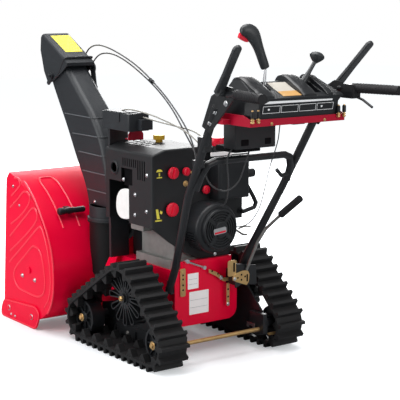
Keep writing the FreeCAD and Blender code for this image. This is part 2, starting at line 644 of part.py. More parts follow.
def engine_shroud():
    """Black cowl over the engine: crowned top, cut-away lower edge, and bosses for the knobs."""
    low = [(-151, 446), (-80, 398), (-18, 368), (50, 344), (109, 356), (135, 372), (160, 508)]
    roof = cowl_outline(0.0)
    rear = prism_y([roof[1], roof[0]] + low + [roof[5], roof[4], roof[3], roof[2]], ENG_REAR, ENG_REAR + 10.0)
    body = fuse([prism_y(roof, ENG_REAR, ENG_FRONT), rear])

    def outer_rim(e):
        b = e.BoundBox
        at_rear = b.YMax < ENG_REAR + 0.1 and (b.XMax < ENG_LEFT + 0.1 or b.ZMin > ENG_RIGHT_TOP - 1)
        return at_rear or (b.YLength > 300 and b.XMax < ENG_LEFT + 0.1 and b.ZMin > 700)

    body = rounded(body, 9.0, outer_rim)
    body = body.cut(prism_y(cowl_outline(5.0), ENG_REAR + 10.0, ENG_FRONT - 5.0))
    body = body.cut(box(ENG_LEFT + 5.0, ENG_RIGHT - 5.0, ENG_REAR + 10.0, ENG_FRONT - 5.0, 500, 520))
    body = body.cut(Part.makeCompound(cowl_cuts()))
    ring = cyl_x(186, 716, 26.0, ENG_LEFT - 2.5, ENG_LEFT + 1.0)
    ring = ring.cut(cyl_x(186, 716, 20.0, ENG_LEFT - 3.0, ENG_LEFT + 2.0))
    bosses = [cyl_y(x, z, r, ENG_REAR - 10.0, ENG_REAR + 1.0)
              for x, z, r in ((-138, 717, 16), (-143, 579, 16), (-80, 718, 9), (15, 639, 8))]
    return fuse([body, ring] + bosses)


def engine_core():
    """Plain block that stands for the closed-in engine under the cowl, with the guard in the window."""
    outline = [(-172, 612), (-172, CROWN - 46.0), (20, CROWN - 46.0), (150, ENG_RIGHT_TOP - 10.0), (150, 612)]
    block = prism_y(outline, ENG_REAR + 10.0, 190.0)
    return fuse([block, box(-218, -170, 62, 134, 650, 714)])


def recoil_starter():
    """Round fan housing with the slotted pull-starter cover on the back of the engine."""
    x, z = 8.0, 498.0
    back, shoulder, face = ENG_REAR, ENG_REAR - 96.0, ENG_REAR - 114.0
    housing = rounded(cyl_y(x, z, 98.0, shoulder, back), 16.0, lambda e: e.BoundBox.YMax < shoulder + 0.1)
    cover = rounded(cyl_y(x, z, 78.0, face, shoulder), 6.0, lambda e: e.BoundBox.YMax < face + 0.1)
    hub = rounded(cyl_y(x, z, 30.0, face - 6.0, face), 3.0, lambda e: e.BoundBox.YMax < face - 5.9)
    spokes = []
    for turn in (40, 130, 220, 310):
        spoke = box(x + 20, x + 90, face - 9, face + 9, z - 7, z + 7)
        spoke.rotate(V(x, 0, z), V(0, 1, 0), turn)
        spokes.append(spoke)
    spokes = fuse(spokes)
    body = fuse([housing, cover])
    for r in (35.0, 45.0, 55.0, 65.0):
        groove = cyl_y(x, z, r + 5.0, face - 1.0, face + 7.0).cut(cyl_y(x, z, r, face - 2.0, face + 8.0))
        body = body.cut(groove.cut(spokes))
    for k in range(9):
        slot = box(x - 104, x - 92, shoulder + 22.0, back - 12.0, z - 2.5, z + 2.5)
        slot.rotate(V(x, 0, z), V(0, 1, 0), -8.0 - 6.5 * k)
        body = body.cut(slot)
    return fuse([body, hub])


def fuel_tank():
    """Tank and air box on the right of the cowl, with the carrying loop beside it."""
    right = ENG_RIGHT - 14.0
    tank = box(34, right, -150, ENG_REAR, 600, ENG_RIGHT_TOP + 6.0)
    tank = rounded(tank, 14.0, lambda e: e.BoundBox.Center.y < -149)
    y = ENG_REAR - 20.0
    loop = rod([(right - 8, y, 668), (206, y, 640), (238, y, 592), (252, y, 566), (244, y, 548),
                (188, y, 536), (188, ENG_REAR, 536)], 8.5)
    foot = cyl_y(188, 536, 13, ENG_REAR - 5.0, ENG_REAR)
    knob = fuse([cyl_x(-100, 688, 8, right - 2, 206), cyl_x(-100, 688, 18, 202, 236)])
    return fuse([tank, loop, foot, knob])


def filler_cap():
    return fuse([cyl_z(-50, 140, 14, CROWN, CROWN + 12.0), cyl_z(-50, 140, 23, CROWN + 10.0, CROWN + 28.0)])


def gear_head():
    """Turning gear of the chute: cable box on a flat post that stands on the frame box."""
    post = box(-206, -120, DRUM_BACK - 13.0, DRUM_BACK, BOX_TOP, GEAR_FLOOR + 10.0)
    case = box(-226, -130, 86, 283, GEAR_FLOOR, GEAR_TOP)
    tail = box(-186, -134, 58, 90, GEAR_FLOOR + 6.0, GEAR_TOP - 22.0)
    return fuse([post, rounded(case, 8.0, along_z), tail])


# ---- handlebars, console and controls -----------------------------------------------


def handlebar(with_clips):
    """Right handlebar: foot on the frame box, bent tube, joint plate, grip tube and grip.

    The left one has the cable clips, the right one the clamp with the small unlocking lever.
    """
    tube = rod(HANDLE_ROUTE, TUBE_R)
    plate = prism_x([(-425, 930), (-470, 910), (-600, 1030), (-600, 1075), (-560, 1080), (-480, 1040)],
                    246, 252)
    arm = rod([(251, -577, 1050), (257, -620, 1055), (304, -824, 1055)], 11.0)
    start = V(262, -640, 1055)
    along = V(304, -824, 1055) - start
    grip = Part.makeCylinder(17.0, along.Length + 6, start, along)
    pad = box(BOX_HALF, BOX_HALF + TUBE_R, -106, -78, 250, 300)
    clips = [box(211, 238, -388, -350, 776, 802), box(212, 244, -432, -388.5, 838, 890)]
    clamp = box(244, 276, -664, -594, 1018, 1068)
    clamp = rounded(clamp, 8.0, lambda e: along_x(e))
    trigger = rod([(262, -650, 1026), (263, -690, 1016), (265, -738, 992)], 4.5)
    return fuse([tube, plate, arm, grip, pad] + (clips if with_clips else [clamp, trigger]))


def cross_tube():
    """Bent stay between the handlebars with its hook on the right."""
    bend = [(213, -336, 690), (207, -362, 748), (190, -378, 784), (160, -384, 796)]
    bend = [(-x, y, z) for x, y, z in bend] + bend[::-1]
    hook = rod([(207, -352, 718), (170, -356, 712), (145, -356, 737)], 7.5)
    stay = fuse([rod(bend, 13.5), hook])
    for side in (1, -1):
        stay = stay.cut(rod([(side * x, y, z) for x, y, z in HANDLE_ROUTE], TUBE_R))
    return stay


def console_frame():
    """Red pressed tray that carries the console between the handlebars, its sides higher than its rear."""
    half = CONSOLE_HALF + 14.0
    outer = box(-half, half, -650, -440, TRAY_Z, TRAY_Z + 24.0)
    inner = box(-half + TRAY_T, half - TRAY_T, -650 + TRAY_T, -430, TRAY_Z + TRAY_T, TRAY_Z + 60.0)
    pieces = []
    for side in (-1, 1):
        x0 = min(side * (half - TRAY_T), side * half)
        pieces.append(prism_x([(-650, TRAY_Z), (-650, TRAY_Z + 24), (-610, TRAY_Z + 38), (-440, TRAY_Z + 38),
                               (-440, TRAY_Z)], x0, x0 + TRAY_T))
        x0 = min(side * half, side * 246.0)
        ear = box(x0, x0 + 246.0 - half, -540, -470, TRAY_Z + 2.0, TRAY_Z + 18.0)
        beside = [V(side * x, y, z) for x, y, z in HANDLE_ROUTE[-2:]]
        pieces.append(ear.cut(Part.makeCylinder(TUBE_R + SEAT, 90.0, beside[0], beside[1] - beside[0])))
    return fuse([outer.cut(inner)] + pieces)


def console_top():
    """Moulded console: three ridges, recesses between them, sloping ends and bores for the two stems."""
    floor = TRAY_Z + TRAY_T
    rear = -650 + TRAY_T + SEAT
    crest = [(-640, 1050), (-590, 1077), (-545, 1099), (-508, 1096), (-446, 1000), (-446, floor)]
    ridge = [(rear, floor), (rear, 968), (-658, 1036)] + crest
    low = [(rear, floor), (rear, 968), (-658, 1036), (-640, 1050 - HUMP / 2)]
    low += [(y, z - HUMP) for y, z in crest[1:4]] + crest[4:]
    pieces = [prism_x(low, -CONSOLE_HALF, CONSOLE_HALF)]
    for x0, x1 in ((-CONSOLE_HALF, -114), (18, 76), (128, 152)):
        bar = prism_x(ridge, x0, x1)
        pieces.append(rounded(bar, 7.0, lambda e: e.BoundBox.XLength < 0.01 and e.BoundBox.ZMin > 1049))
    body = fuse(pieces)
    for side in (-1, 1):
        edge = side * CONSOLE_HALF
        slope = [(edge, 1040), (edge + side * 5, 1040), (edge + side * 5, 1110), (edge - side * 28, 1110)]
        body = body.cut(prism_y(slope, -670, -440))
        low = floor - 1.0
        corner = [V(edge + side, -661, low), V(edge - side * 24, -661, low), V(edge + side, -600, low)]
        notch = Part.Face(Part.makePolygon(corner + corner[:1])).extrude(V(0, 0, 1030 - floor))
        body = body.cut(notch)
    body = body.cut(box(-108, -80, -604, -540, 1040, 1110)).cut(box(86, 122, -632, -536, 1030, 1110))
    for foot, top, r in (JOYSTICK_STEM, SHIFT_STEM):
        along = V(*top) - V(*foot)
        body = body.cut(Part.makeCylinder(r + RUN, along.Length, V(*foot), along))
    return body


def under_box():
    return box(-146, 38, -480, -410, 844, TRAY_Z)


def hand_lever():
    """Flat operating lever on the right: pivot on the joint plate and a paddle with a round top."""
    length = 218.0
    half = 16.0
    foot = 20.0
    sides = [V(-foot, 0, 0), V(-half, 0, 90), V(-half, 0, length - half)]
    across = [V(half, 0, length - half), V(half, 0, 90), V(foot, 0, 0), V(-foot, 0, 0)]
    edges = [Part.makeLine(a, b) for a, b in zip(sides, sides[1:])]
    edges.append(Part.Arc(sides[-1], V(0, 0, length), across[0]).toShape())
    edges += [Part.makeLine(a, b) for a, b in zip(across, across[1:])]
    paddle = Part.Face(Part.Wire(edges)).extrude(V(0, 14.0, 0))
    paddle = rounded(paddle, 4.0, lambda e: e.BoundBox.YLength < 0.01)
    paddle.translate(V(0, -7.0, 0))
    paddle.rotate(V(0, 0, 0), V(0, 1, 0), 8.0)
    paddle.rotate(V(0, 0, 0), V(1, 0, 0), 42.0)
    paddle.translate(V(LEVER_X, LEVER_Y, LEVER_Z))
    pivot = cyl_x(LEVER_Y, LEVER_Z, 16, 252, 276)
    return fuse([paddle, pivot]).cut(box(200, 252, -600, -500, 1000, 1100))


def joystick():
    """Chute control: thin stem, straight grip and a head that leans over to the left."""
    stem = rod(JOYSTICK_STEM[:2], JOYSTICK_STEM[2])
    outline = [(-67, 1142), (-55, 1150), (-96, 1232), (-113, 1259), (-113, 1280), (-136, 1292), (-163, 1288),
               (-183, 1279), (-189, 1264), (-169, 1244), (-144, 1227), (-105, 1146), (-95, 1135)]
    y = JOYSTICK_STEM[1][1]
    grip = prism_y(outline, y - 16.0, y + 16.0)
    return fuse([stem, rounded(grip, 7.0, lambda e: e.BoundBox.YLength < 0.01)])


def shift_lever():
    stem = rod(SHIFT_STEM[:2], SHIFT_STEM[2])
    top = V(*SHIFT_STEM[1])
    along = V(0.3, 0.0, 1.0)
    knob = Part.makeCylinder(21.0, 20.0, top, along)
    return fuse([stem, rounded(knob, 8.0, lambda e: e.Closed)])


def clean_out_tool():
    """Plastic bar for clearing the chute, clipped to the back of the auger housing."""
    x0 = 95.0 - HOUSE_HALF
    bar = cyl_x(498, 501, 12, x0, x0 + 104.0)
    knob = rounded(cyl_x(498, 501, 15, x0 - 15.0, x0 + 15.0), 7.0, lambda e: e.Closed)
    clip = box(x0 + 30.0, x0 + 50.0, 490, 540, 489, 513).cut(house_block(HOUSE_HALF, 0.0))
    return fuse([bar, knob, clip])


def height_lever():
    """Housing height lever: slotted sector on the frame box, bent rod and black grip."""
    sector = prism_y([(86, 350), (201, 330), (205, 250), (130, 262), (100, 250)], -168, -162)
    foot = box(96, 130, -162, BOX_REAR, 262, 320)
    bar = rod([(150, -172, 318), (164, -220, 432), (182, -252, 492), (190, -345, 567)], 6.0)
    start = V(190, -332, 557)
    along = V(190, -441, 634) - start
    grip = Part.makeCylinder(14.0, along.Length, start, along)
    return fuse([sector, foot, bar, grip])


# ---- cables -------------------------------------------------------------------------


def cord(points, r, name):
    """Round cord along straight runs joined by tangent arcs, each as large as its runs allow."""
    pts = [V(*p) for p in points]
    edges = []
    here = pts[0]
    radii = []
    for a, b, c in zip(pts, pts[1:], pts[2:]):
        into = (b - a)
        out = (c - b)
        short = min(into.Length, out.Length)
        into.normalize()
        out.normalize()
        turn = into.getAngle(out)
        cut = 0.45 * short
        radii.append(cut / math.tan(turn / 2))
        start = b - into * cut
        end = b + out * cut
        bow = (out - into)
        bow.normalize()
        mid = b + bow * (radii[-1] / math.cos(turn / 2) - radii[-1])
        edges.append(Part.makeLine(here, start))
        edges.append(Part.Arc(start, mid, end).toShape())
        here = end
    edges.append(Part.makeLine(here, pts[-1]))
    path = Part.Wire(edges)
    ring = Part.Wire(Part.makeCircle(r, pts[0], pts[1] - pts[0]))
    tube = path.makePipeShell([ring], True, False)
    print(name, "length %.0f" % path.Length, "smallest bend %.0f" % min(radii),
          "volume ratio %.3f" % (tube.Volume / (math.pi * r * r * path.Length)))
    return tube


# ---- run ----------------------------------------------------------------------------
save("track_right", track())
save("track_left", mirrored(track()))
save("drive_wheel_right", drive_wheel())
save("drive_wheel_left", mirrored(drive_wheel()))
save("front_idler_right", idler(FRONT_IDLER_Y))
save("front_idler_left", mirrored(idler(FRONT_IDLER_Y)))
save("rear_idler_right", idler(REAR_IDLER_Y))
save("rear_idler_left", mirrored(idler(REAR_IDLER_Y)))
save("track_frame_right", track_frame())
save("track_frame_left", mirrored(track_frame()))
save("drive_axle", drive_axle())
save("rear_cross_rod", cross_rod())
save("auger_housing", auger_housing())
save("skid_right", skid())
save("skid_left", mirrored(skid()))
save("scraper_bar", scraper())
save("impeller_drum", impeller_drum())
save("auger", auger())
save("auger_gearbox", auger_gearbox())
save("impeller", impeller())
save("chute", chute())
save("chute_hood", hood())
save("frame_box", frame_box())
save("belt_cover", belt_cover())
save("engine_block", engine_block())
save("engine_shroud", engine_shroud())
save("engine_core", engine_core())
save("recoil_starter", recoil_starter())
save("fuel_tank", fuel_tank())
save("filler_cap", filler_cap())
save("chute_gear_head", gear_head())
save("handlebar_right", handlebar(False))
save("handlebar_left", mirrored(handlebar(True)))
save("handle_cross_tube", cross_tube())
save("console_frame", console_frame())
save("console_top", console_top())
save("console_under_box", under_box())
save("lever_right", hand_lever())
save("lever_left", mirrored(hand_lever()))
save("joystick", joystick())
save("shift_lever", shift_lever())
save("height_lever", height_lever())
save("clean_out_tool", clean_out_tool())
save("hood_cable_upper", cord(HOOD_CABLE_UPPER, CABLE_R, "hood_cable_upper"))
save("hood_cable_lower", cord(HOOD_CABLE_LOWER, CABLE_R, "hood_cable_lower"))
save("gear_cable_upper", cord(GEAR_CABLE_UPPER, CABLE_R, "gear_cable_upper"))
save("gear_cable_lower", cord(GEAR_CABLE_LOWER, CABLE_R, "gear_cable_lower"))
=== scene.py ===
# %% [markdown]
# # Dressing a tracked snow blower
# The machine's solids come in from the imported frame: tracks, auger housing, chute, engine, handlebars.
# They could be shown as they are, but bare solids look like one grey casting. So this lesson gives every
# solid a finish of its own, then adds what a worker fits last: bolts, labels, knobs, grips and cables.

# %% Load the frame
import math

import bmesh
import bpy
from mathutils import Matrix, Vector


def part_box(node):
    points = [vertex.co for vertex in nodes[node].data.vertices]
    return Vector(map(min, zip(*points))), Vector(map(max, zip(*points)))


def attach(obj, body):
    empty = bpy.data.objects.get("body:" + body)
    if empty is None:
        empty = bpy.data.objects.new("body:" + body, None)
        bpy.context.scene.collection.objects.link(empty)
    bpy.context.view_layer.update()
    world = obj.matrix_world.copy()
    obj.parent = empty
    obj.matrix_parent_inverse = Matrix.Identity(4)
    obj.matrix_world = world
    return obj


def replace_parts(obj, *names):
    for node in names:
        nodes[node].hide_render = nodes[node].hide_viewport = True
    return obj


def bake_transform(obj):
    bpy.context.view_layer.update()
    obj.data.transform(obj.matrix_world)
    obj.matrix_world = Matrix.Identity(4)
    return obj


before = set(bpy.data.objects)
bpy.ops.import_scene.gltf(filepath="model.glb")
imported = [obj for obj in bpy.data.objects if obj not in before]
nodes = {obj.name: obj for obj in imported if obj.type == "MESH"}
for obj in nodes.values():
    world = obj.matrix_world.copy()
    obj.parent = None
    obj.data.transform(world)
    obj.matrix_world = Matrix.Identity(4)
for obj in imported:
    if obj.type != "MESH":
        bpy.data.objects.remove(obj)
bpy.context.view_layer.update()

# %% [markdown]
# ## Finishes, first the shared effects
# A painter, a moulder and a foundry leave different surfaces, but some effects are common to all: a
# colour that drifts a little, a fine grain, and edges that are never razor sharp. Each effect could be
# copied into every material. A node group is built once instead, and each material sets its own values.

# %% Helpers for nodes
def feed(socket, value):
    """Links another socket to this one, or sets it to a plain value."""
    if isinstance(value, bpy.types.NodeSocket):
        socket.id_data.links.new(value, socket)
    else:
        socket.default_value = value


def fill(node, **values):
    """Feeds a node's inputs; an underscore stands for the space in a socket's name."""
    for label, value in values.items():
        feed(node.inputs[label.replace("_", " ")], value)
    return node


def add(tree, kind, *values, **named):
    """A new shader node, its inputs fed by position or by name."""
    node = tree.nodes.new("ShaderNode" + kind)
    for socket, value in zip(node.inputs, values):
        feed(socket, value)
    return fill(node, **named)


def effect(name, inputs, outputs):
    """A shader node group with named sockets: returns the tree, its input node and its output node."""
    tree = bpy.data.node_groups.new(name, "ShaderNodeTree")
    for way, sockets in (("INPUT", inputs), ("OUTPUT", outputs)):
        for label, kind in sockets.items():
            tree.interface.new_socket(label, in_out=way, socket_type="NodeSocket" + kind)
    print("effect", name, "takes", ", ".join(inputs), "and gives", ", ".join(outputs))
    return tree, tree.nodes.new("NodeGroupInput"), tree.nodes.new("NodeGroupOutput")


# %% Nodes for sums, noise and mixing
def maths(tree, operation, a, b):
    """One Math node; a and b are numbers or sockets."""
    node = add(tree, "Math", a, b)
    node.operation = operation
    return node.outputs[0]


def noise(tree, scale, detail=2):
    """Noise in object space, in blobs 1 / scale metres across."""
    place = add(tree, "TexCoord").outputs["Object"]
    return add(tree, "TexNoise", Vector=place, Scale=scale, Detail=detail).outputs["Fac"]


MIX_A, MIX_B, MIX_OUT = 6, 7, 2  # where a Mix node keeps its colour sockets


def mixed(tree, factor, first, second):
    """One Mix node; the colours are RGBA values or sockets."""
    node = add(tree, "Mix", Factor=factor)
    node.data_type = "RGBA"
    feed(node.inputs[MIX_A], first)
    feed(node.inputs[MIX_B], second)
    return node.outputs[MIX_OUT]


# %% Colour that drifts
drift, drift_in, drift_out = effect(
    "colour_drift", {"Colour": "Color", "Other Colour": "Color", "Scale": "Float"}, {"Colour": "Color"})
blobs = maths(drift, "SUBTRACT", noise(drift, drift_in.outputs["Scale"], 4), 0.35)
blobs = maths(drift, "MAXIMUM", maths(drift, "MULTIPLY", blobs, 3), 0)
mask = maths(drift, "MULTIPLY", maths(drift, "MINIMUM", blobs, 1), 0.5)
fill(drift_out, Colour=mixed(drift, mask, drift_in.outputs["Colour"], drift_in.outputs["Other Colour"]))

# %% [markdown]
# Sheet metal is deburred and mouldings have a small radius, so every real edge catches a thin line of
# light. Modelling that radius on each solid would cost many faces. The Bevel node bends only the normal
# near an edge, and where it differs from the flat normal there is an edge, which gives a mask for rub.

# %% Soft edges and rubbed edges
edges, edges_in, edges_out = effect(
    "soft_edges", {"Radius": "Float", "Rub": "Float"}, {"Normal": "Vector", "Rub Mask": "Float"})
round_over = add(edges, "Bevel", Radius=edges_in.outputs["Radius"])
round_over.samples = 4
likeness = add(edges, "VectorMath", round_over.outputs["Normal"], add(edges, "NewGeometry").outputs["Normal"])
likeness.operation = "DOT_PRODUCT"
bend = maths(edges, "MULTIPLY", maths(edges, "SUBTRACT", 1, likeness.outputs["Value"]), 6)
patches = maths(edges, "MULTIPLY", noise(edges, 120), edges_in.outputs["Rub"])
scuff = maths(edges, "MULTIPLY", maths(edges, "MINIMUM", bend, 1), patches)
fill(edges_out, Normal=round_over.outputs["Normal"], Rub_Mask=scuff)

# %% [markdown]
# Spark-eroded moulds print a pebbled grain on plastic, powder coat dries with a low orange peel, and
# sand casting leaves pits. All three are the same thing at another size, so one group serves them.

# %% Surface grain
grain, grain_in, grain_out = effect(
    "surface_grain", {"Scale": "Float", "Roughness": "Float"}, {"Height": "Float", "Roughness": "Float"})
pebbles = noise(grain, grain_in.outputs["Scale"], 1)
clouds = maths(grain, "MULTIPLY", maths(grain, "SUBTRACT", noise(grain, 14, 3), 0.5), 0.08)
rough = maths(grain, "ADD", clouds, grain_in.outputs["Roughness"])
fill(grain_out, Height=pebbles, Roughness=rough)

# %% [markdown]
# ## The finishes
# One recipe makes them all: drift for the colour, grain for roughness and bump, soft edges for the
# normal. What tells powder coat from zinc or rubber is the numbers. A colour ramp per material would
# also work, but then the same edit has to be made in every one.

# %% A finish from the shared effects
def place_group(tree, group, **values):
    """A node of one effect, its inputs fed by name."""
    node = add(tree, "Group")
    node.node_tree = group
    return fill(node, **values)


def finish(name, colour, other, roughness, drift_scale=8, grain_scale=900, bump=0.05, metal=0,
           specular=0.5, rub=None, radius=0.0012):
    """A material from the three groups. rub is the colour that shows along rubbed edges."""
    material = bpy.data.materials.new(name)
    material.use_nodes = True
    tree = material.node_tree
    tone = place_group(tree, drift, Colour=(*colour, 1), Other_Colour=(*other, 1), Scale=drift_scale)
    rounding = place_group(tree, edges, Radius=radius, Rub=0.6 if rub else 0)
    texture = place_group(tree, grain, Scale=grain_scale, Roughness=roughness)
    colour_out = tone.outputs["Colour"]
    if rub:
        colour_out = mixed(tree, rounding.outputs["Rub Mask"], colour_out, (*rub, 1))
    relief = add(tree, "Bump", Strength=bump, Distance=0.001, Height=texture.outputs["Height"],
                 Normal=rounding.outputs["Normal"])
    fill(tree.nodes["Principled BSDF"], Base_Color=colour_out, Metallic=metal, Specular_IOR_Level=specular,
         Roughness=texture.outputs["Roughness"], Normal=relief.outputs["Normal"])
    print("finish", name)
    return material


# %% The paint shop
red_coat = finish(
    "red_powder_coat", (0.8, 0.001, 0.036), (0.72, 0.001, 0.028), 0.3, bump=0.04, specular=0.14,
    grain_scale=350, rub=(0.95, 0.1, 0.15))
# A lighter, pinker red than the coat, for the beads, the shell ribs and the skid rims: a painted highlight
# along raised lines that catch the light from above.
bead_highlight_coat = finish("red_bead_highlight", (0.88, 0.035, 0.07), (0.82, 0.025, 0.055), 0.3, bump=0.03)
# A darker copy of the red coat: painted shade, for the console frame and the bracket under the gear case.
shaded_red = finish(
    "painted_shade_red_coat", (0.42, 0.002, 0.024), (0.35, 0.002, 0.02), 0.34, bump=0.04, specular=0.3,
    grain_scale=350, rub=(0.8, 0.1, 0.13))
black_coat = finish(
    "black_powder_coat", (0.013, 0.014, 0.016), (0.009, 0.01, 0.012), 0.33, grain_scale=500,
    rub=(0.05, 0.055, 0.06))
shaft_steel = finish("oiled_steel", (0.1, 0.1, 0.105), (0.06, 0.06, 0.065), 0.42, metal=0.8, bump=0.1)

# %% The moulding shop
black_moulding = finish(
    "black_moulding", (0.013, 0.0145, 0.017), (0.009, 0.01, 0.012), 0.44, bump=0.14, grain_scale=1400,
    rub=(0.05, 0.054, 0.06), radius=0.002, specular=0.4)
chute_moulding = finish(
    "chute_moulding", (0.016, 0.019, 0.023), (0.011, 0.013, 0.017), 0.48, bump=0.14, grain_scale=1200,
    rub=(0.1, 0.105, 0.11), radius=0.0015)
gloss_moulding = finish(
    "gloss_moulding", (0.013, 0.0145, 0.017), (0.009, 0.01, 0.012), 0.3, bump=0.08, grain_scale=1400,
    rub=(0.06, 0.064, 0.07), radius=0.003, specular=0.6)
# Lighter grey for the outer faces of the chute's ribs: a painted highlight, the light that the ribs catch.
rib_highlight_moulding = finish(
    "rib_highlight_moulding", (0.11, 0.12, 0.13), (0.07, 0.08, 0.09), 0.42, bump=0.1, grain_scale=1200)
cowl_moulding = finish(
    "cowl_moulding", (0.013, 0.014, 0.016), (0.009, 0.01, 0.012), 0.5, bump=0.2, grain_scale=1100,
    rub=(0.05, 0.054, 0.06), radius=0.001, specular=0.45)
grip_moulding = finish(
    "grip_moulding", (0.028, 0.031, 0.034), (0.021, 0.023, 0.026), 0.4, bump=0.1, grain_scale=1400,
    rub=(0.07, 0.075, 0.08), radius=0.002, specular=0.6)
dark_moulding = finish(
    "dark_moulding", (0.006, 0.0065, 0.0075), (0.004, 0.0045, 0.005), 0.5, bump=0.12, grain_scale=1100,
    rub=(0.03, 0.032, 0.035), radius=0.001, specular=0.25)
soft_grip = finish(
    "soft_grip", (0.01, 0.01, 0.012), (0.016, 0.016, 0.018), 0.62, bump=0.3, grain_scale=700, specular=0.35)
track_rubber = finish(
    "track_rubber", (0.01, 0.01, 0.011), (0.018, 0.017, 0.018), 0.62, bump=0.35, grain_scale=260,
    rub=(0.035, 0.035, 0.037), specular=0.4)
red_plastic = finish("red_plastic", (0.72, 0.004, 0.03), (0.6, 0.003, 0.022), 0.3, bump=0.03, specular=0.45)
yellow_plastic = finish("yellow_plastic", (0.83, 0.5, 0.03), (0.74, 0.43, 0.02), 0.42, bump=0.08)
cable_sheath = finish("cable_sheath", (0.045, 0.045, 0.048), (0.03, 0.03, 0.032), 0.45, bump=0.05)
pale_sheath = finish("pale_sheath", (0.3, 0.29, 0.26), (0.22, 0.21, 0.19), 0.45, bump=0.05)
beige_plastic = finish("beige_plastic", (0.66, 0.62, 0.55), (0.58, 0.53, 0.46), 0.4, bump=0.08)
amber_plastic = finish("amber_plastic", (0.74, 0.42, 0.15), (0.62, 0.33, 0.1), 0.4, bump=0.08)
# Near black with little shine: painted shade, for the engine inside the cowl, the head's face in the cowl's
# window, the holes in the plates and the step under the switch box.
painted_shade_black = finish(
    "painted_shade_black", (0.003, 0.003, 0.004), (0.005, 0.005, 0.006), 0.8, bump=0.02, specular=0.1)

# %% The plating bath and the foundry
bright_zinc = finish(
    "bright_zinc", (0.82, 0.83, 0.84), (0.66, 0.68, 0.72), 0.28, metal=1, bump=0.04, drift_scale=60)
yellow_zinc = finish(
    "yellow_zinc", (0.72, 0.47, 0.2), (0.52, 0.31, 0.13), 0.36, metal=0.75, bump=0.05, drift_scale=45)
dull_zinc = finish(
    "dull_zinc", (0.36, 0.35, 0.33), (0.25, 0.245, 0.23), 0.4, metal=0.8, bump=0.06, drift_scale=50)
cast_aluminium = finish(
    "cast_aluminium", (0.34, 0.34, 0.33), (0.22, 0.22, 0.21), 0.5, metal=0.5, bump=0.35, grain_scale=500,
    drift_scale=25)
bare_aluminium = finish(
    "bare_aluminium", (0.93, 0.93, 0.91), (0.8, 0.8, 0.78), 0.42, metal=0.1, bump=0.25, grain_scale=600,
    drift_scale=25)

# %% Blank labels
white_label = finish("white_label", (0.98, 0.93, 0.93), (0.92, 0.87, 0.87), 0.4, bump=0.01)
white_print = finish("white_print", (0.86, 0.87, 0.88), (0.8, 0.81, 0.82), 0.5, bump=0.01)
yellow_label = finish("yellow_label", (0.87, 0.77, 0.08), (0.8, 0.69, 0.06), 0.4, bump=0.01)
grey_label = finish("grey_label", (0.42, 0.43, 0.44), (0.34, 0.35, 0.36), 0.35, metal=0.4, bump=0.01)
print("materials, with those of the solids:", len(bpy.data.materials))

# %% [markdown]
# ## Give each solid its finish
# A table of who is made of what reads like the parts list in the workshop. Setting materials one by one
# in code would hide a forgotten solid, so the cell ends by checking that none is left.

# %% The parts list
def pair(name):
    """The names of the right and the left one."""
    return [name + "_right", name + "_left"]


made_of = {
    red_coat: [*pair("skid"), "auger_housing", "impeller_drum", "auger", "impeller", "frame_box"],
    shaded_red: ["console_frame"],
    black_coat: [*pair("track_frame"), *pair("handlebar"), *pair("drive_wheel"), "belt_cover",
                 "scraper_bar", "auger_gearbox", "handle_cross_tube"],
    chute_moulding: ["chute", "chute_hood", "chute_gear_head"],
    black_moulding: [*pair("front_idler"), *pair("rear_idler"), "fuel_tank", "recoil_starter",
                     "console_under_box", "joystick", "shift_lever", "clean_out_tool"],
    grip_moulding: pair("lever"),
    gloss_moulding: ["console_top"],
    soft_grip: ["height_lever"],
    cowl_moulding: ["engine_shroud"],
    painted_shade_black: ["engine_core"],
    track_rubber: pair("track"),
    shaft_steel: ["drive_axle"],
    yellow_zinc: ["rear_cross_rod"],
    cast_aluminium: ["engine_block"],
    yellow_plastic: ["filler_cap"],
    cable_sheath: ["gear_cable_upper", "gear_cable_lower", "hood_cable_upper", "hood_cable_lower"],
}
for material, names in made_of.items():
    for name in names:
        mesh = nodes[name].data
        mesh.materials.clear()
        mesh.materials.append(material)
left_over = sorted(set(nodes) - {name for names in made_of.values() for name in names})
print("solids without a finish:", left_over)

# %% [markdown]
# Some solids are more than one material: a rubber grip on a tube, a plated pin in a painted plate. They
# could be split into more solids, but they are one part to the worker, so only the faces get another finish.

# %% Tools for the faces and edges of a solid
def repaint(name, material, test):
    """Gives another finish to the faces of a solid whose centres (mm) pass the test."""
    mesh = nodes[name].data
    mesh.materials.append(material)
    slot = len(mesh.materials) - 1
    chosen = [face for face in mesh.polygons if test(*(face.center * 1000))]
    for face in chosen:
        face.material_index = slot
    print(name, material.name, len(chosen), "faces")


def bevelled(thing, label, width, segments, angle):
    """A Bevel modifier (mm, degrees) on the edges that are sharper than the angle."""
    bevel = thing.modifiers.new(label, "BEVEL")
    bevel.width = width / 1000
    bevel.segments = segments
    bevel.limit_method = "ANGLE"
    bevel.angle_limit = math.radians(angle)
    bevel.harden_normals = True


def round_edges(name, width):
    """Welds and bevels the sharp edges of a solid as it is shown; the solid itself stays as it is."""
    nodes[name].modifiers.new("weld", "WELD").merge_threshold = 0.00002
    bevelled(nodes[name], "round_edges", width, 3, 30)
    print(name, "edges rounded by", width, "mm")


# %% Second finishes
CHUTE_X, CHUTE_Y = -118, 395
for name in pair("handlebar"):
    repaint(name, soft_grip, lambda x, y, z: y < -641 and z > 1036 and abs(x) < 325)
for name in pair("track_frame"):
    repaint(name, bright_zinc, lambda x, y, z: abs(x) > 308.5)
repaint("impeller_drum", dark_moulding,
        lambda x, y, z: z > 300 and math.hypot(x - CHUTE_X, y - CHUTE_Y) < (130 if z > 400 else 92))
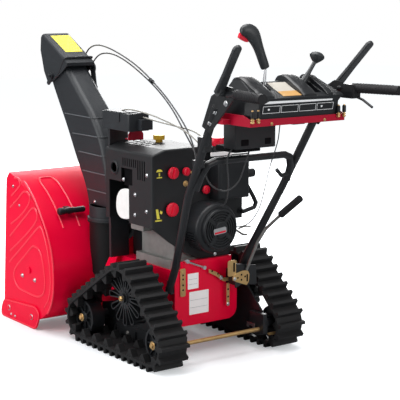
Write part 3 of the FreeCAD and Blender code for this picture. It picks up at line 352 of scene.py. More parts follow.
# The outer faces of the ribs get the lighter grey, a painted highlight.
repaint("chute", rib_highlight_moulding, lambda x, y, z: 55.5 < abs(x - CHUTE_X) < 57.5 and z > 560)
repaint("drive_axle", black_coat, lambda x, y, z: abs(x) > 300)
repaint("height_lever", dull_zinc, lambda x, y, z: 318 < z < 566 and -335 < y < -168)
repaint("height_lever", black_coat, lambda x, y, z: y > -169 and z < 351)
# The head's face in the cowl's window is painted in the shade black.
repaint("engine_block", painted_shade_black, lambda x, y, z: x < -175.5 and z > 511)

for name, width in (("console_top", 9), ("fuel_tank", 6), ("console_under_box", 4), ("chute_gear_head", 3)):
    round_edges(name, width)

# %% [markdown]
# ## Tools for the added pieces
# Bolts, beads and knobs are turned, swept or cut from plate. Each kind gets one small mesh tool that
# works in millimetres like the drawings, and the piece is scaled to metres once, when it is finished.

# %% Turned and swept work
def circle(centre, side, other, radius, steps):
    """Points round a centre, in the plane of two unit vectors."""
    turns = [2 * math.pi * k / steps for k in range(steps)]
    return [centre + (side * math.cos(t) + other * math.sin(t)) * radius for t in turns]


def turned(bm, profile, foot, along, steps=28):
    """Lathe work: profile is (radius, height) pairs from the foot along the axis."""
    axis = Vector(along).normalized()
    side = axis.orthogonal().normalized()
    other = axis.cross(side)
    rings = []
    for radius, height in profile:
        ring = circle(Vector(foot) + axis * height, side, other, radius, steps if radius else 1)
        rings.append([bm.verts.new(point) for point in ring])
    for low, high in zip(rings, rings[1:]):
        for k in range(steps):
            after = k + 1
            ring = [low[k % len(low)], low[after % len(low)], high[after % len(high)], high[k % len(high)]]
            corners = list(dict.fromkeys(ring))
            if len(corners) > 2:
                bm.faces.new(corners)
    for ring in (rings[0], rings[-1]):
        if len(ring) > 2:
            bm.faces.new(ring)


def skin(bm, rings):
    """Faces between rings of equally many points, and a cap on either end."""
    for low, high in zip(rings, rings[1:]):
        for k in range(len(low)):
            after = (k + 1) % len(low)
            bm.faces.new((low[k], low[after], high[after], high[k]))
    bm.faces.new(rings[0])
    bm.faces.new(rings[-1])


def swept(bm, points, radius, steps=10):
    """Round bar through the points, square to its run at each of them."""
    line = [Vector(p) for p in points]
    side = (line[1] - line[0]).orthogonal().normalized()
    rings = []
    for k, here in enumerate(line):
        run = (line[min(k + 1, len(line) - 1)] - line[max(k - 1, 0)]).normalized()
        side = (side - run * side.dot(run)).normalized()
        rings.append([bm.verts.new(point) for point in circle(here, side, run.cross(side), radius, steps)])
    skin(bm, rings)


# %% Plates
ACROSS, AHEAD, BACK, UP = (1, 0, 0), (0, 1, 0), (0, -1, 0), (0, 0, 1)


def plate(bm, outline, corner, thick, across=ACROSS, up=UP):
    """Flat plate: outline in (across, up) from the corner, as thick as given along across x up."""
    across, up = Vector(across).normalized(), Vector(up).normalized()
    out = across.cross(up) * thick
    low = [bm.verts.new(Vector(corner) + across * u + up * v) for u, v in outline]
    high = [bm.verts.new(vert.co + out) for vert in low]
    bm.faces.new(low)
    bm.faces.new(high)
    for k in range(len(low)):
        after = (k + 1) % len(low)
        bm.faces.new((low[k], low[after], high[after], high[k]))


def rectangle(left, low, right, high):
    """Outline of a rectangle with sharp corners."""
    return [(left, low), (right, low), (right, high), (left, high)]


def rounded(width, height, radius, steps=4):
    """Outline of a rectangle with round corners, from the corner at (0, 0)."""
    outline = []
    for u, v, start in ((width - radius, height - radius, 0), (radius, height - radius, 90),
                        (radius, radius, 180), (width - radius, radius, 270)):
        for k in range(steps + 1):
            turn = math.radians(start + 90 * k / steps)
            outline.append((u + radius * math.cos(turn), v + radius * math.sin(turn)))
    return outline


# %% Smooth lines
def smooth(points, per=5, closed=False):
    """Points along a smooth curve through the given ones."""
    p = [Vector(q) for q in points]
    if closed:
        p = [p[-1]] + p + p[:2]
    else:
        p = [p[0] * 2 - p[1]] + p + [p[-1] * 2 - p[-2]]
    line = []
    for a, b, c, d in zip(p, p[1:], p[2:], p[3:]):
        for k in range(per):
            t = k / per
            line.append(0.5 * (2 * b + (c - a) * t + (2 * a - 5 * b + 4 * c - d) * t * t
                               + (3 * b - a - 3 * c + d) * t ** 3))
    return line + [p[-2]]


# %% From a mesh to a piece
CORNER = 34  # degrees: a sharper edge is shown crisp and can be bevelled


def piece(name, bm, material, body="chassis", soften=0):
    """Finishes a mesh: metres, smooth shading with crisp corners, a small bevel, and the body it rides on.

    A piece that bends between two bodies is given None here.
    """
    bmesh.ops.recalc_face_normals(bm, faces=bm.faces)
    bmesh.ops.scale(bm, vec=(0.001, 0.001, 0.001), verts=bm.verts)
    mesh = bpy.data.meshes.new(name)
    bm.to_mesh(mesh)
    bm.free()
    mesh.materials.append(material)
    mesh.shade_smooth()
    mesh.set_sharp_from_angle(angle=math.radians(CORNER))
    thing = bpy.data.objects.new(name, mesh)
    bpy.context.scene.collection.objects.link(thing)
    if soften:
        bevelled(thing, "soften", soften, 2, CORNER)
    print(name, len(mesh.polygons), "faces")
    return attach(thing, body) if body else thing


def single(name, material, tool, *shape, body="chassis", soften=0):
    """A piece that takes one call of one mesh tool."""
    bm = bmesh.new()
    tool(bm, *shape)
    return piece(name, bm, material, body, soften)


# %% [markdown]
# ## Bolts
# The machine is held together by flange bolts: a washer pressed onto a six-sided head. They could be
# instances of one mesh, but they are few, so they are drawn straight into one mesh for each region.

# %% A flange bolt and a region of them
def bolt(bm, place, along, size):
    """A washer and a six-sided head; size is the head's half width in mm."""
    washer = [(size * 1.45, -1), (size * 1.45, 1.2), (size * 1.1, 1.9), (size * 0.9, 1.9)]
    head = [(size, 1.5), (size, size * 0.8), (size * 0.8, size), (0, size)]
    turned(bm, washer, place, along, 20)
    turned(bm, head, place, along, 6)


def bolts(name, places, body="chassis", material=bright_zinc):
    """A piece of bolts; places is a list of (point, direction, size)."""
    bm = bmesh.new()
    for place, along, size in places:
        bolt(bm, place, along, size)
    piece(name, bm, material, body)


# %% [markdown]
# ## Auger housing
# The side plates are stamped with raised beads that stop the thin sheet from drumming. Cutting them into
# the solid would need a press tool's worth of fillets, so half-sunk round bars follow the same lines.

# %% Beads on the side plates
SIDE_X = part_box("auger_housing")[1].x * 1000
BEAD, RIB = 4, 3.4  # radii of the pressed beads, and of the ribs and rims
BEADS = [
    [(640, 616), (612, 600), (550, 551), (494, 484), (452, 424), (426, 370), (410, 308), (406, 245),
     (412, 180), (432, 128), (462, 88)],
    [(484, 110), (450, 150), (430, 208), (432, 283), (449, 355), (474, 412), (498, 441), (528, 436),
     (657, 342), (786, 250)],
    [(776, 300), (664, 370), (568, 438), (531, 478), (538, 507), (571, 513), (640, 464), (774, 365)],
    [(762, 420), (690, 458), (624, 505), (592, 542), (596, 566), (640, 574), (700, 533), (766, 490)],
    [(752, 542), (700, 576), (672, 600), (686, 622), (722, 622)],
]
CLOSED_BEAD = [(724, 241), (654, 294), (583, 347), (559, 355), (521, 346), (494, 309), (477, 240), (484, 178),
               (522, 150), (569, 144), (640, 146), (705, 151), (736, 172), (746, 205)]
bm = bmesh.new()
for side in (-1, 1):
    for line in BEADS + [CLOSED_BEAD]:
        run = [(side * (SIDE_X - 0.5), y, z) for y, z in line]
        swept(bm, smooth(run, closed=line is CLOSED_BEAD), BEAD)
piece("side_plate_beads", bm, bead_highlight_coat)

# %% [markdown]
# Two pairs of ribs stiffen the rolled shell and meet in a rounded end. Their curve could be copied by hand,
# but it would be wrong as soon as the shell changes. So a ray finds the sheet under each point of a rib.

# %% Ribs over the shell
def on_shell(x, y):
    """Point on the outside of the shell, straight below a point above the housing."""
    place = nodes["auger_housing"].ray_cast(Vector((x, y, 900)) / 1000, Vector((0, 0, -1)))[1]
    return (x, y, place.z * 1000 + 0.8)


SHELL_Y = [474, 520, 570, 618, 660]
bm = bmesh.new()
for flip in (1, -1):
    ribs = [[(x, y) for y in SHELL_Y] + [(end, 686)] for x, end in ((-300, -292), (-222, -230))]
    for rib in ribs + [[(-292, 686), (-284, 692), (-261, 693), (-238, 692), (-230, 686)]]:
        swept(bm, smooth([on_shell(flip * x, y) for x, y in rib]), RIB)
piece("shell_ribs", bm, bead_highlight_coat)

# %% Bolts on the side plates and skid shoes
SHOE_THICK = 6
SHOE_PINS = [(589, 49), (789, 49)]
places = []
for side in (-1, 1):
    for y, z, size in ((734, 585, 4.4), (683, 510, 4), (669, 212, 6.5), (562, 211, 6.5)):
        places.append(((side * SIDE_X, y, z), (side, 0, 0), size))
    for y, z in ((770, 24), (734, 22)):
        places.append(((side * (SIDE_X + SHOE_THICK), y, z), (side, 0, 0), 3.8))
bolts("side_plate_bolts", places)
bm = bmesh.new()
for side in (-1, 1):
    for y, z in SHOE_PINS:
        turned(bm, [(12.5, 0), (12.5, 1.2), (11.4, 2), (9.2, 2), (9.2, 0)],
               (side * (SIDE_X + SHOE_THICK), y, z), (side, 0, 0))
piece("skid_washers", bm, bright_zinc)

# %% [markdown]
# ## Skid shoes
# A shoe slides over gravel, so its corners are cut round and its edge is rolled outwards. A bevel on the
# solid would round the sheet's thickness too. An outline with curved corners keeps the sheet flat, and a
# bar along that outline makes the rolled edge. The new shoe stands for the plain solid.

# %% Skid shoes with rounded toes and a rolled edge
def rounded_outline(corners, radius, steps=5):
    """Outline through straight runs between the corners, each cut by a curve of about the radius."""
    outline = []
    for k, corner in enumerate(corners):
        here = Vector(corner)
        ends = []
        for other in (corners[k - 1], corners[(k + 1) % len(corners)]):
            away = Vector(other) - here
            ends.append(here + away.normalized() * min(radius, away.length * 0.48))
        for i in range(steps + 1):
            t = i / steps
            outline.append(tuple(ends[0] * (1 - t) ** 2 + here * 2 * t * (1 - t) + ends[1] * t * t))
    return outline


SHOE = rounded_outline([(516, 72), (554, 0.5), (862, 0.5), (864, 29), (838, 80), (549, 103)], 24)
rims = bmesh.new()
for name, side in zip(pair("skid"), (1, -1)):
    bm = bmesh.new()
    plate(bm, SHOE, (SIDE_X if side > 0 else -SIDE_X - SHOE_THICK, 0, 0), SHOE_THICK, AHEAD)
    for y, z in SHOE_PINS:
        turned(bm, [(9, 0), (9, 3.4), (7.5, 4), (0, 4)], (side * (SIDE_X + SHOE_THICK - 0.1), y, z),
               (side, 0, 0))
    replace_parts(piece(name + "_shoe", bm, red_coat), name)
    edge = [(side * (SIDE_X + SHOE_THICK - 1.5), y * 0.975 + 17, z * 0.9 + 5) for y, z in SHOE]
    swept(rims, edge + edge[:1], RIB)
piece("skid_rims", rims, bead_highlight_coat)

# %% Grip of the clean-out tool
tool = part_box("clean_out_tool")
foot = (tool[0].x * 1000 + 0.5, 498, 500 * (tool[0].z + tool[1].z))
SLEEVE = [(8, 0), (12.5, 3), (13.5, 9), (13.5, 16), (11.5, 19), (12, 60), (12.5, 120), (10, 124)]
single("tool_sleeve", black_moulding, turned, SLEEVE, foot, ACROSS, 24)

# %% [markdown]
# ## Running gear
# The wheels turn on pins with a nut outside. The solids have the plain pin, so the nut and its washer are
# turned here, and they stay with the track frame that carries the pin.

# %% Pin nuts and wheel nuts
IDLERS, IDLER_X = [(305, 97), (-208, 97)], 318
AXLE_X, AXLE_Z = 322, 236
bm = bmesh.new()
for side in (-1, 1):
    for y, z in IDLERS:
        turned(bm, [(16, 0), (16, 2.5), (14, 3.5), (9, 3.5)], (side * IDLER_X, y, z), (side, 0, 0), 28)
        turned(bm, [(10.5, 3), (10.5, 8), (9, 9.5), (0, 9.5)], (side * IDLER_X, y, z), (side, 0, 0), 6)
piece("idler_nuts", bm, yellow_zinc, "track_unit")
bm = bmesh.new()
for side in (-1, 1):
    turned(bm, [(11, 0), (11, 6), (8, 8), (0, 8)], (side * AXLE_X, 0, AXLE_Z), (side, 0, 0), 6)
piece("axle_nuts", bm, yellow_zinc, "track_unit")

# %% [markdown]
# A rail closes each track frame below, and the right frame has the bracket that tensions its belt. They
# could be solids, but they carry nothing that moves, and they are flat bar and strip, so plates will do.

# %% Lower rails of the track frames, beside the bottom run of the belt
RAIL_X, RAIL_LOW, RAIL_TOP = 200.2, 26, 84
RAIL = [(-150, RAIL_TOP), (-120, RAIL_LOW), (296, RAIL_LOW), (322, 50), (318, 75), (262, RAIL_TOP)]
bm = bmesh.new()
for side in (-1, 1):
    plate(bm, RAIL, (side * RAIL_X, 0, 0), side * 5, AHEAD)
    plate(bm, rectangle(-120, RAIL_LOW, 296, RAIL_LOW + 4), (side * RAIL_X, 0, 0), side * 14, AHEAD)
    for y in (-110, 75, 222):
        web = [(y, RAIL_LOW + 2), (y + 5, RAIL_LOW + 2), (y + 5, 62), (y, 70)]
        plate(bm, web, (side * RAIL_X, 0, 0), side * 13, AHEAD)
piece("track_rails", bm, black_coat, "track_unit", soften=0.8)
places = [((side * (RAIL_X + 5), y, 50), (side, 0, 0), 6) for side in (-1, 1) for y in (-20, 140)]
bolts("rail_bolts", places, "track_unit", dull_zinc)

# %% Tension bracket at the rear of the right track frame
single("tension_block", black_coat, plate, [(-253, 70), (-253, 150), (-165, 150), (-165, 62), (-200, 55)],
       (172, 0, 0), 20, AHEAD, body="track_unit", soften=2.5)
HOOK = [(-200, 68), (-200, 102), (-150, 102), (-150, 82), (-162, 82), (-162, 90), (-188, 90), (-188, 68)]
single("tension_hook", bright_zinc, plate, HOOK, (169.6, 0, 0), 2.4, AHEAD, body="track_unit", soften=0.5)
PIN_END = (252, -246, 64)
bm = bmesh.new()
swept(bm, [(204, -246, 66), PIN_END], 6, 14)
turned(bm, [(10, 0), (10, 6), (0, 6)], PIN_END, ACROSS, 6)
piece("tension_pin", bm, yellow_zinc, "track_unit")

# %% [markdown]
# ## The cowl and the engine
# The red choke, fuel and starting knobs sit on the rear of the cowl. They are pressed onto their shafts
# after assembly, so they are a piece of their own on the bosses of the solid.

# %% A knob with a finger bar
def fluted(bm, foot, radius, height, flutes=18):
    """Short knob facing the operator: fluted skirt, flat face and a raised bar across it."""
    x, y, z = foot
    steps = flutes * 4
    rings = []
    for r, h, wave in ((0.93, 0, 0), (0.97, 2, 0.03), (1, height * 0.6, 0.03), (0.93, height * 0.8, 0.02),
                       (0.80, height * 0.86, 0)):
        ring = []
        for k in range(steps):
            t = 2 * math.pi * k / steps
            reach = radius * (r + wave * math.cos(flutes * t))
            ring.append(bm.verts.new((x + reach * math.cos(t), y - h, z + reach * math.sin(t))))
        rings.append(ring)
    skin(bm, rings)
    corners = ((-0.9, -1), (0.9, -1), (1, 0), (0.9, 1), (-0.9, 1), (-1, 0))
    bar = [(u * radius * 0.78, v * radius * 0.2) for u, v in corners]
    plate(bm, bar, (x, y - height * 0.8, z), height * 0.5, (0.3, 0, 1), (-1, 0, 0.3))


# %% The red knobs
REAR = -80  # the cowl's rear face
bm = bmesh.new()
for x, z, radius in ((-144, 717, 23), (-149, 577, 27), (-84, 718, 16)):
    fluted(bm, (x, REAR - 9, z), radius, 16)
fluted(bm, (11, REAR - 9, 639), 17, 12, 12)
piece("cowl_knobs", bm, red_plastic, soften=0.8)

# %% Marks beside the knobs
arch = [(14 * math.cos(math.pi * k / 10), 10 * math.sin(math.pi * k / 10)) for k in range(11)]
bm = bmesh.new()
for outline, x, z in ((arch, -198, 724), (rectangle(-3, 0, 3, 12), -198, 708),
                      (rectangle(-12, 0, 12, 4), -198, 700), (rectangle(-15, 0, 15, 5), -203, 535),
                      ([(-7, 0), (6, 0), (-2, 38), (-12, 38)], -203, 544),
                      ([(0, 0), (10, -6), (14, 4), (4, 10)], -198, 566)):
    plate(bm, outline, (x, REAR, z), 0.5)
piece("cowl_marks", bm, yellow_label)

# %% [markdown]
# A window in the cowl shows the pale cover of the cylinder head, and above it is a round port. A casting
# with all its fins could sit there, but only its face is seen, so it is one plate with a soft edge.

# %% Head cover in the window and the ring of the port
COWL_LEFT = -230
HEAD = [(190, 568), (183, 600), (160, 627), (124, 637), (96, 634), (88, 605), (88, 534), (104, 519),
        (155, 516), (184, 536)]
rim = [(-v.x, v.y) for v in smooth([(y, z, 0) for y, z in HEAD], 3, closed=True)][:-1]
single("head_cover", bare_aluminium, plate, rim, (-213.5, 0, 0), 10, BACK, soften=4)
single("port_ring", black_moulding, turned, [(28, -2), (28, 2.5), (25, 4.5), (21, 4.5), (19, 1), (19, -2)],
       (COWL_LEFT, 186, 714), (-1, 0, 0), 36)

# %% Screws, studs and the primer's ring
SCREWS = ((-43, 709), (39, 624), (42, 545), (-39, 569), (121, 674))
places = [((COWL_LEFT, y, z), (-1, 0, 0), 5.2) for y, z in SCREWS]
places += [((x, REAR, z), BACK, 5.2) for x, z in ((-18, 584), (-66, 447))]
places.append(((-7, -176, 402), BACK, 4.5))
bolts("cowl_screws", places)
bolts("cowl_stud", [((-77, REAR, 669), BACK, 8), ((-48, REAR, 709), BACK, 4)], material=yellow_zinc)
bolts("primer_ring", [((32, REAR, 627), BACK, 5)])

# %% Blank badge on the recoil starter, turned with its face
BADGE_AXES = (1, 0, 0.1), (-0.1, 0, 1)
single("recoil_badge", grey_label, plate, [(u - 30, v - 12) for u, v in rounded(60, 24, 6)],
       (-1, -199.9, 494), 0.8, *BADGE_AXES)
single("recoil_badge_stripe", red_plastic, plate, rectangle(-26, -9, 26, -2), (-1, -200.7, 494),
       0.4, *BADGE_AXES)

# %% Fuel cap, filler neck and filler strip
FILLER = (54, -108, 776)
single("fuel_cap", red_plastic, turned,
       [(26, 34), (31, 35), (33, 38), (33, 60), (30, 65), (12, 67), (0, 67)], FILLER, UP, 36)
single("filler_neck", black_moulding, turned, [(24, -4), (24, 6), (20, 8), (20, 35), (0, 35)],
       FILLER, UP, 32)
single("filler_strip", white_label, plate, rounded(104, 15, 3), (-12, -152, 776), 1.5)

# %% Lever of the engine stop and its rod
bm = bmesh.new()
swept(bm, smooth([(100, -118, 490), (142, -120, 467), (170, -120, 450), (190, -120, 446)]), 4.5)
swept(bm, smooth([(150, -120, 474), (176, -122, 480), (206, -124, 478)]), 3.5)
piece("stop_lever", bm, dull_zinc)

# %% [markdown]
# ## The turning gear
# Under the gear case a red bracket takes the post, and a lid with a raised pad closes the case. Both are
# small pressings, so they are built up from flat plates.

# %% Gear case bracket and lid
bm = bmesh.new()
plate(bm, [(0, 0), (70, 0), (70, 24), (58, 42), (12, 42), (0, 24)], (-189, 150, 820), 4)
plate(bm, rectangle(0, 0, 46, 40), (-178, 148, 822), 4, up=AHEAD)
# The bracket takes the darker red, painted shade under the gear case.
piece("gear_bracket", bm, shaded_red, soften=1)
bm = bmesh.new()
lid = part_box("chute_gear_head")[1].z * 1000
plate(bm, rounded(84, 150, 8), (-222, 128, lid - 0.5), 4, up=AHEAD)
plate(bm, rounded(40, 40, 6), (-176, 90, lid - 0.5), 3, up=AHEAD)
plate(bm, rectangle(150, 896, 168, 934), (-230, 0, 0), 5, AHEAD)
piece("gear_lid", bm, chute_moulding, soften=1.5)

# %% [markdown]
# ## The frame box
# Behind the red box sit the plated parts of the height and drive linkages, and two blank labels. Flat
# plates with rounded ends are enough, because that is what the real ones are cut from.

# %% Labels on the box
BOX_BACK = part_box("frame_box")[0].y * 1000
LABELS = [(51, 62, -89, 259), (93, 91, -82, 157)]
bm = bmesh.new()
for width, height, x, z in LABELS:
    plate(bm, rounded(width, height, 2), (x, BOX_BACK, z), 0.5)
piece("box_labels", bm, white_label)
bm = bmesh.new()
for width, height, x, z in LABELS:
    for k in (0.3, 0.62):
        plate(bm, rectangle(4, 0, width - 6, 1.2), (x, BOX_BACK - 0.5, z + height * k), 0.2)
piece("box_label_rules", bm, grey_label)

# %% Linkage plates
QUADRANT_Y = -170
ARM = [(0, 0), (0, 14), (40, -4), (74, -30), (110, -34), (110, -48), (70, -44), (34, -18)]
QUADRANT = [(82, 296), (101, 310), (128, 316), (156, 316), (165, 300), (162, 268), (151, 256), (101, 275),
            (82, 284)]
bm = bmesh.new()
plate(bm, rounded(25, 110, 6), (-127, BOX_BACK - 2, 236), 3)
for z in (250, 292, 330):
    turned(bm, [(6.5, 0), (6.5, 2.2), (3, 2.2)], (-114.5, BOX_BACK - 5, z), BACK, 18)
plate(bm, rounded(43, 52, 5), (101, BOX_BACK - 8, 294), 3)
plate(bm, ARM, (0, BOX_BACK - 14, 318), 3)
plate(bm, rounded(14, 94, 6), (84, BOX_BACK - 18, 172), 3)
plate(bm, QUADRANT, (0, QUADRANT_Y, 0), 2.5)
plate(bm, rounded(40, 64, 8), (60, QUADRANT_Y + 2, 300), 2)
piece("linkage_plates", bm, yellow_zinc, soften=0.6)

# %% Holes in the plates, as discs of painted shade on them
HOLE = [(4, 0), (4, 0.4), (0, 0.4)]
bm = bmesh.new()
for x, z, out in ((-114.5, 262, 5), (-114.5, 281, 5), (-114.5, 304, 5), (-114.5, 320, 5), (16, 322, 17),
                  (44, 308, 17), (91, 240, 21), (91, 210, 21)):
    turned(bm, HOLE, (x, BOX_BACK - out, z), BACK, 16)
for x, z in ((107, 291), (125, 301), (125, 281), (143, 292)):
    turned(bm, HOLE, (x, QUADRANT_Y - 2.5, z), BACK, 16)
plate(bm, rounded(7, 30, 3), (150, QUADRANT_Y - 2.5, 270), 0.4)
plate(bm, rounded(8, 38, 4), (86, QUADRANT_Y, 316), 0.4)
piece("plate_holes", bm, painted_shade_black)

# %% Linkage rod and bolts
bm = bmesh.new()
swept(bm, [(-100, BOX_BACK - 12, 374), (-22, BOX_BACK - 12, 341)], 4, 12)
turned(bm, [(8, -6), (8, 6), (0, 6)], (-100, BOX_BACK - 12, 374), BACK, 18)
turned(bm, [(8, -8), (8, 6), (0, 6)], (-20, BOX_BACK - 12, 340), BACK, 18)
for x, y, z, size in ((60, BOX_BACK - 17, 290, 6), (91, BOX_BACK - 21, 180, 5), (122, BOX_BACK - 11, 334, 5),
                      (92, QUADRANT_Y - 2.5, 288, 5)):
    bolt(bm, (x, y, z), BACK, size)
piece("linkage_rod", bm, bright_zinc)

# %% [markdown]
# ## The console
# The operator looks at the console most, so it gets the most trim: a dark strip of blank panels with
# white outlines, a beige inset, plated studs with nuts at the corners, and the bolts of the handlebars.
# Outlines could be printed as a texture, but thin raised strips stay sharp from any distance.

# %% Strip of blank panels on the rear slope
SLOPE = Vector((0, -12.3, 68)).normalized()


def on_slope(x, z):
    """Point 0.2 mm behind the sloping rear face of the console's top."""
    return Vector((x, -645.7, 968)) + SLOPE * ((z - 968) / SLOPE.z) + Vector((0, -0.2, 0))


single("panel_strip", black_moulding, plate, rounded(327, 34, 4), on_slope(-167, 982), 1, ACROSS, SLOPE)
bm = bmesh.new()
for k in range(4):
    for u, v, w, h in ((3, 4, 76, 1.6), (3, 28, 76, 1.6), (3, 4, 1.6, 25), (77.4, 4, 1.6, 25)):
        corner = on_slope(-165 + 81 * k + u, 982) + SLOPE * v + Vector((0, -1, 0))
        plate(bm, rectangle(0, 0, w, h), corner, 0.4, up=SLOPE)
for x in (-136, 102):
    turned(bm, [(4.5, 0), (4.5, 0.6), (0, 0.6)], on_slope(x, 1000) + Vector((0, -0.8, 0)), BACK, 20)
# The white sliver just above the strip, tapering along it, is a painted highlight along the top edge of the
# slope.
plate(bm, [(0, 0), (307, -1), (307, 5), (20, 9)], on_slope(-157, 1019), 0.6, up=SLOPE)
piece("panel_outlines_and_highlight", bm, white_print)

# %% [markdown]
# The console's top is a moulding with three ridges, domed across. A face that curves both ways is awkward
# in the solid, which has plain ridges. A skin over arched rings gives the dome, and it lies on the solid.

# %% Domed covers on the three ridges
def ridge_cover(bm, x0, x1, dome):
    """Smooth arch over one ridge, highest along its middle."""
    arch = smooth([(0, -655, 1041), (0, -630, 1060), (0, -600, 1076), (0, -570, 1092), (0, -542, 1103),
                   (0, -516, 1102), (0, -498, 1086), (0, -484, 1060)], 4)
    rings = []
    for _, y, z in arch:
        across = [(x0 + (x1 - x0) * k / 10, z + dome * (1 - (k / 5 - 1) ** 4)) for k in range(11)]
        rings.append([bm.verts.new((x, y, height)) for x, height in across + [(x1, z - 18), (x0, z - 18)]])
    skin(bm, rings)


bm = bmesh.new()
edge_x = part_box("console_top")[0].x * 1000
for x0, x1, dome in ((edge_x + 22, -113, 5), (17, 77, 5), (127, 153, 2)):
    ridge_cover(bm, x0, x1, dome)
piece("ridge_covers", bm, gloss_moulding)

# %% Inset on the top
TOP_LINE = [(-646, 1040.9), (-640, 1043.4), (-613, 1054.6), (-590, 1064.1), (-556, 1080.7)]


def top_sheet(name, points, material):
    """A sheet that lies on the console's top between two ridges."""
    outline = [(y, z - 0.8) for y, z in points] + [(y, z + 1.2) for y, z in points[::-1]]
    single(name, material, plate, outline, (-66, 0, 0), 82, AHEAD)


top_sheet("inset_rear", TOP_LINE[:3], amber_plastic)
top_sheet("inset_front", TOP_LINE[2:], beige_plastic)

# %% Corner studs
STUDS_X, STUDS_Y = (-208, -183, 180, 207), -655
bm = bmesh.new()
for x in STUDS_X:
    turned(bm, [(4, 0), (4, 44), (3, 46), (0, 46)], (x, STUDS_Y, 955), UP, 14)
    for z, tall in ((957, 6), (966, 4)):
        turned(bm, [(7.5, 0), (7.5, tall), (5, tall)], (x, STUDS_Y, z), UP, 6)
piece("corner_studs", bm, yellow_zinc)
bm = bmesh.new()
for x in STUDS_X:
    turned(bm, [(7, 0), (7, 20), (6, 24), (4, 24)], (x, STUDS_Y, 973), UP, 20)
piece("stud_sleeves", bm, black_moulding, soften=0.6)

# %% Bolts of the console and the handlebar plates
places = [((side * 252, y, z), (side, 0, 0), 7) for side in (-1, 1)
          for y, z in ((-564, 1020), (-502, 986), (-472, 945))]
bolts("handlebar_bolts", places)
bolts("tray_bolts", [((x, -650, 950), BACK, 4) for x in (-120, 120)], material=yellow_zinc)
single("switch_box", black_moulding, plate, rounded(58, 30, 4), (144, -452, 913), 31, ACROSS, AHEAD,
       soften=2)

# %% Step under the switch box and the latches on its rear
bm = bmesh.new()
plate(bm, rounded(118, 20, 3), (-128, -452, 829), -110)
under_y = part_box("console_under_box")[0].y * 1000
for x, width in ((-120, 34), (-12, 28)):
    plate(bm, rounded(width, 22, 3), (x, under_y + 0.5, 856), 1.6)
# The step and the latches take the painted shade black.
piece("under_box_trim", bm, painted_shade_black, soften=0.6)

# %% [markdown]
# ## Joystick and shift lever
# The joystick is a moulded grip whose head leans over, on a plated stem. Blocks could be smoothed into
# each other, but a skin over rings of chosen widths gives the shape directly, and one subdivision rounds
# it. The shift lever and its mushroom knob are round all along, so they are turned.

# %% The joystick's grip and stem
def lofted(bm, sections, y, steps=20):
    """Skin over rings given as (x, z, angle of the ring's width, half width, half depth)."""
    rings = []
    for x, z, angle, wide, deep in sections:
        across = Vector((math.cos(math.radians(angle)), 0, math.sin(math.radians(angle))))
        rings.append([bm.verts.new(Vector((x, y, z)) + across * wide * math.cos(2 * math.pi * k / steps)
                                   + Vector((0, deep * math.sin(2 * math.pi * k / steps), 0)))
                      for k in range(steps)])
    skin(bm, rings)


GRIP_Y = -561
GRIP = [(-78, 1133, 23, 14, 12), (-79, 1135, 23, 17, 14.5), (-84, 1146, 23, 17.5, 15),
        (-97, 1176, 23, 17.5, 16), (-109, 1204, 24, 18.5, 16), (-122, 1230, 27, 23, 18),
        (-133, 1250, 42, 30, 20), (-150, 1263, 66, 28, 19), (-166, 1265, 82, 24, 17),
        (-179, 1265, 90, 18, 14), (-188, 1264, 92, 10, 8)]
grip = single("joystick_grip", grip_moulding, lofted, GRIP, GRIP_Y)
rounder = grip.modifiers.new("rounder", "SUBSURF")
rounder.levels = rounder.render_levels = 1
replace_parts(grip, "joystick")
bm = bmesh.new()
for x in (-88, -80):
    swept(bm, [(x, GRIP_Y, 1022), (x + 4, GRIP_Y, 1139)], 2.8, 12)
piece("joystick_stem", bm, bright_zinc)

# %% Trigger of the joystick
TRIGGER = [(-191, 1241), (-184, 1258), (-166, 1246), (-142, 1228), (-156, 1224), (-176, 1232)]
single("joystick_trigger", red_plastic, plate, TRIGGER, (0, -546, 0), 14, soften=2)

# %% Shift lever with its mushroom knob
foot, top = Vector((64, -562, 1040)), Vector((153, -560, 1153))
rise = (top - foot).length
bm = bmesh.new()
turned(bm, [(6, 0), (12, 30), (11, 70), (8, 95), (7, rise)], foot, top - foot, 32)
turned(bm, [(7, -10), (11, -6), (20, 3), (26, 10), (28, 16), (25, 23), (16, 29), (7, 31), (0, 31.5)], top,
       (0.36, 0, 0.93), 32)
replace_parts(piece("shift_lever_trim", bm, grip_moulding), "shift_lever")

# %% Ribs of the grips
bm = bmesh.new()
for side in (-1, 1):
    foot, end = Vector((side * 262, -640, 1055)), Vector((side * 304, -824, 1055))
    for k in range(13):
        place = foot.lerp(end, 0.10 + 0.065 * k)
        turned(bm, [(16.6, -2.6), (17.9, -1.6), (17.9, 1.6), (16.6, 2.6)], place, end - foot, 28)
piece("grip_ribs", bm, soft_grip)

# %% [markdown]
# ## The chute
# The hood carries a blank yellow label, its open edge is rolled to a lip, and pins hold hood and ring. The
# lip could be a fillet of the solid, but a bar along the edge catches the same line of light with fewer
# faces. Label, lip and hood pin ride on the hood, and the other pin on the chute.

# %% Label on the hood
ROOF = Vector((0, 186, 98)).normalized()
single("hood_label", yellow_label, plate, [(-156, 55), (-152, -84), (-70, -84), (-63, 55)],
       (0, 760, 1181.2), 0.6, ACROSS, ROOF, body="hood_body")

# %% Rolled lip round the hood's open edge
LIP = [(744, 1022), (716, 1040), (690, 1062), (668, 1092), (650, 1112), (640, 1119)]
LEFT, RIGHT = -183, -53
edge = [(LEFT, y, z) for y, z in LIP] + [(LEFT + 14, 637, 1122), (RIGHT - 14, 637, 1122)]
edge += [(RIGHT, y, z) for y, z in LIP[::-1]]
single("hood_lip", chute_moulding, swept, smooth(edge), BEAD, body="hood_body")

# %% Pins of the chute
bolts("chute_pins", [((-172.5, 433, 537), (-1, 0, 0), 5)], "chute_body")
bolts("hood_pins", [((-198, 750, 1042), (-1, 0, 0), 6)], "hood_body", black_moulding)

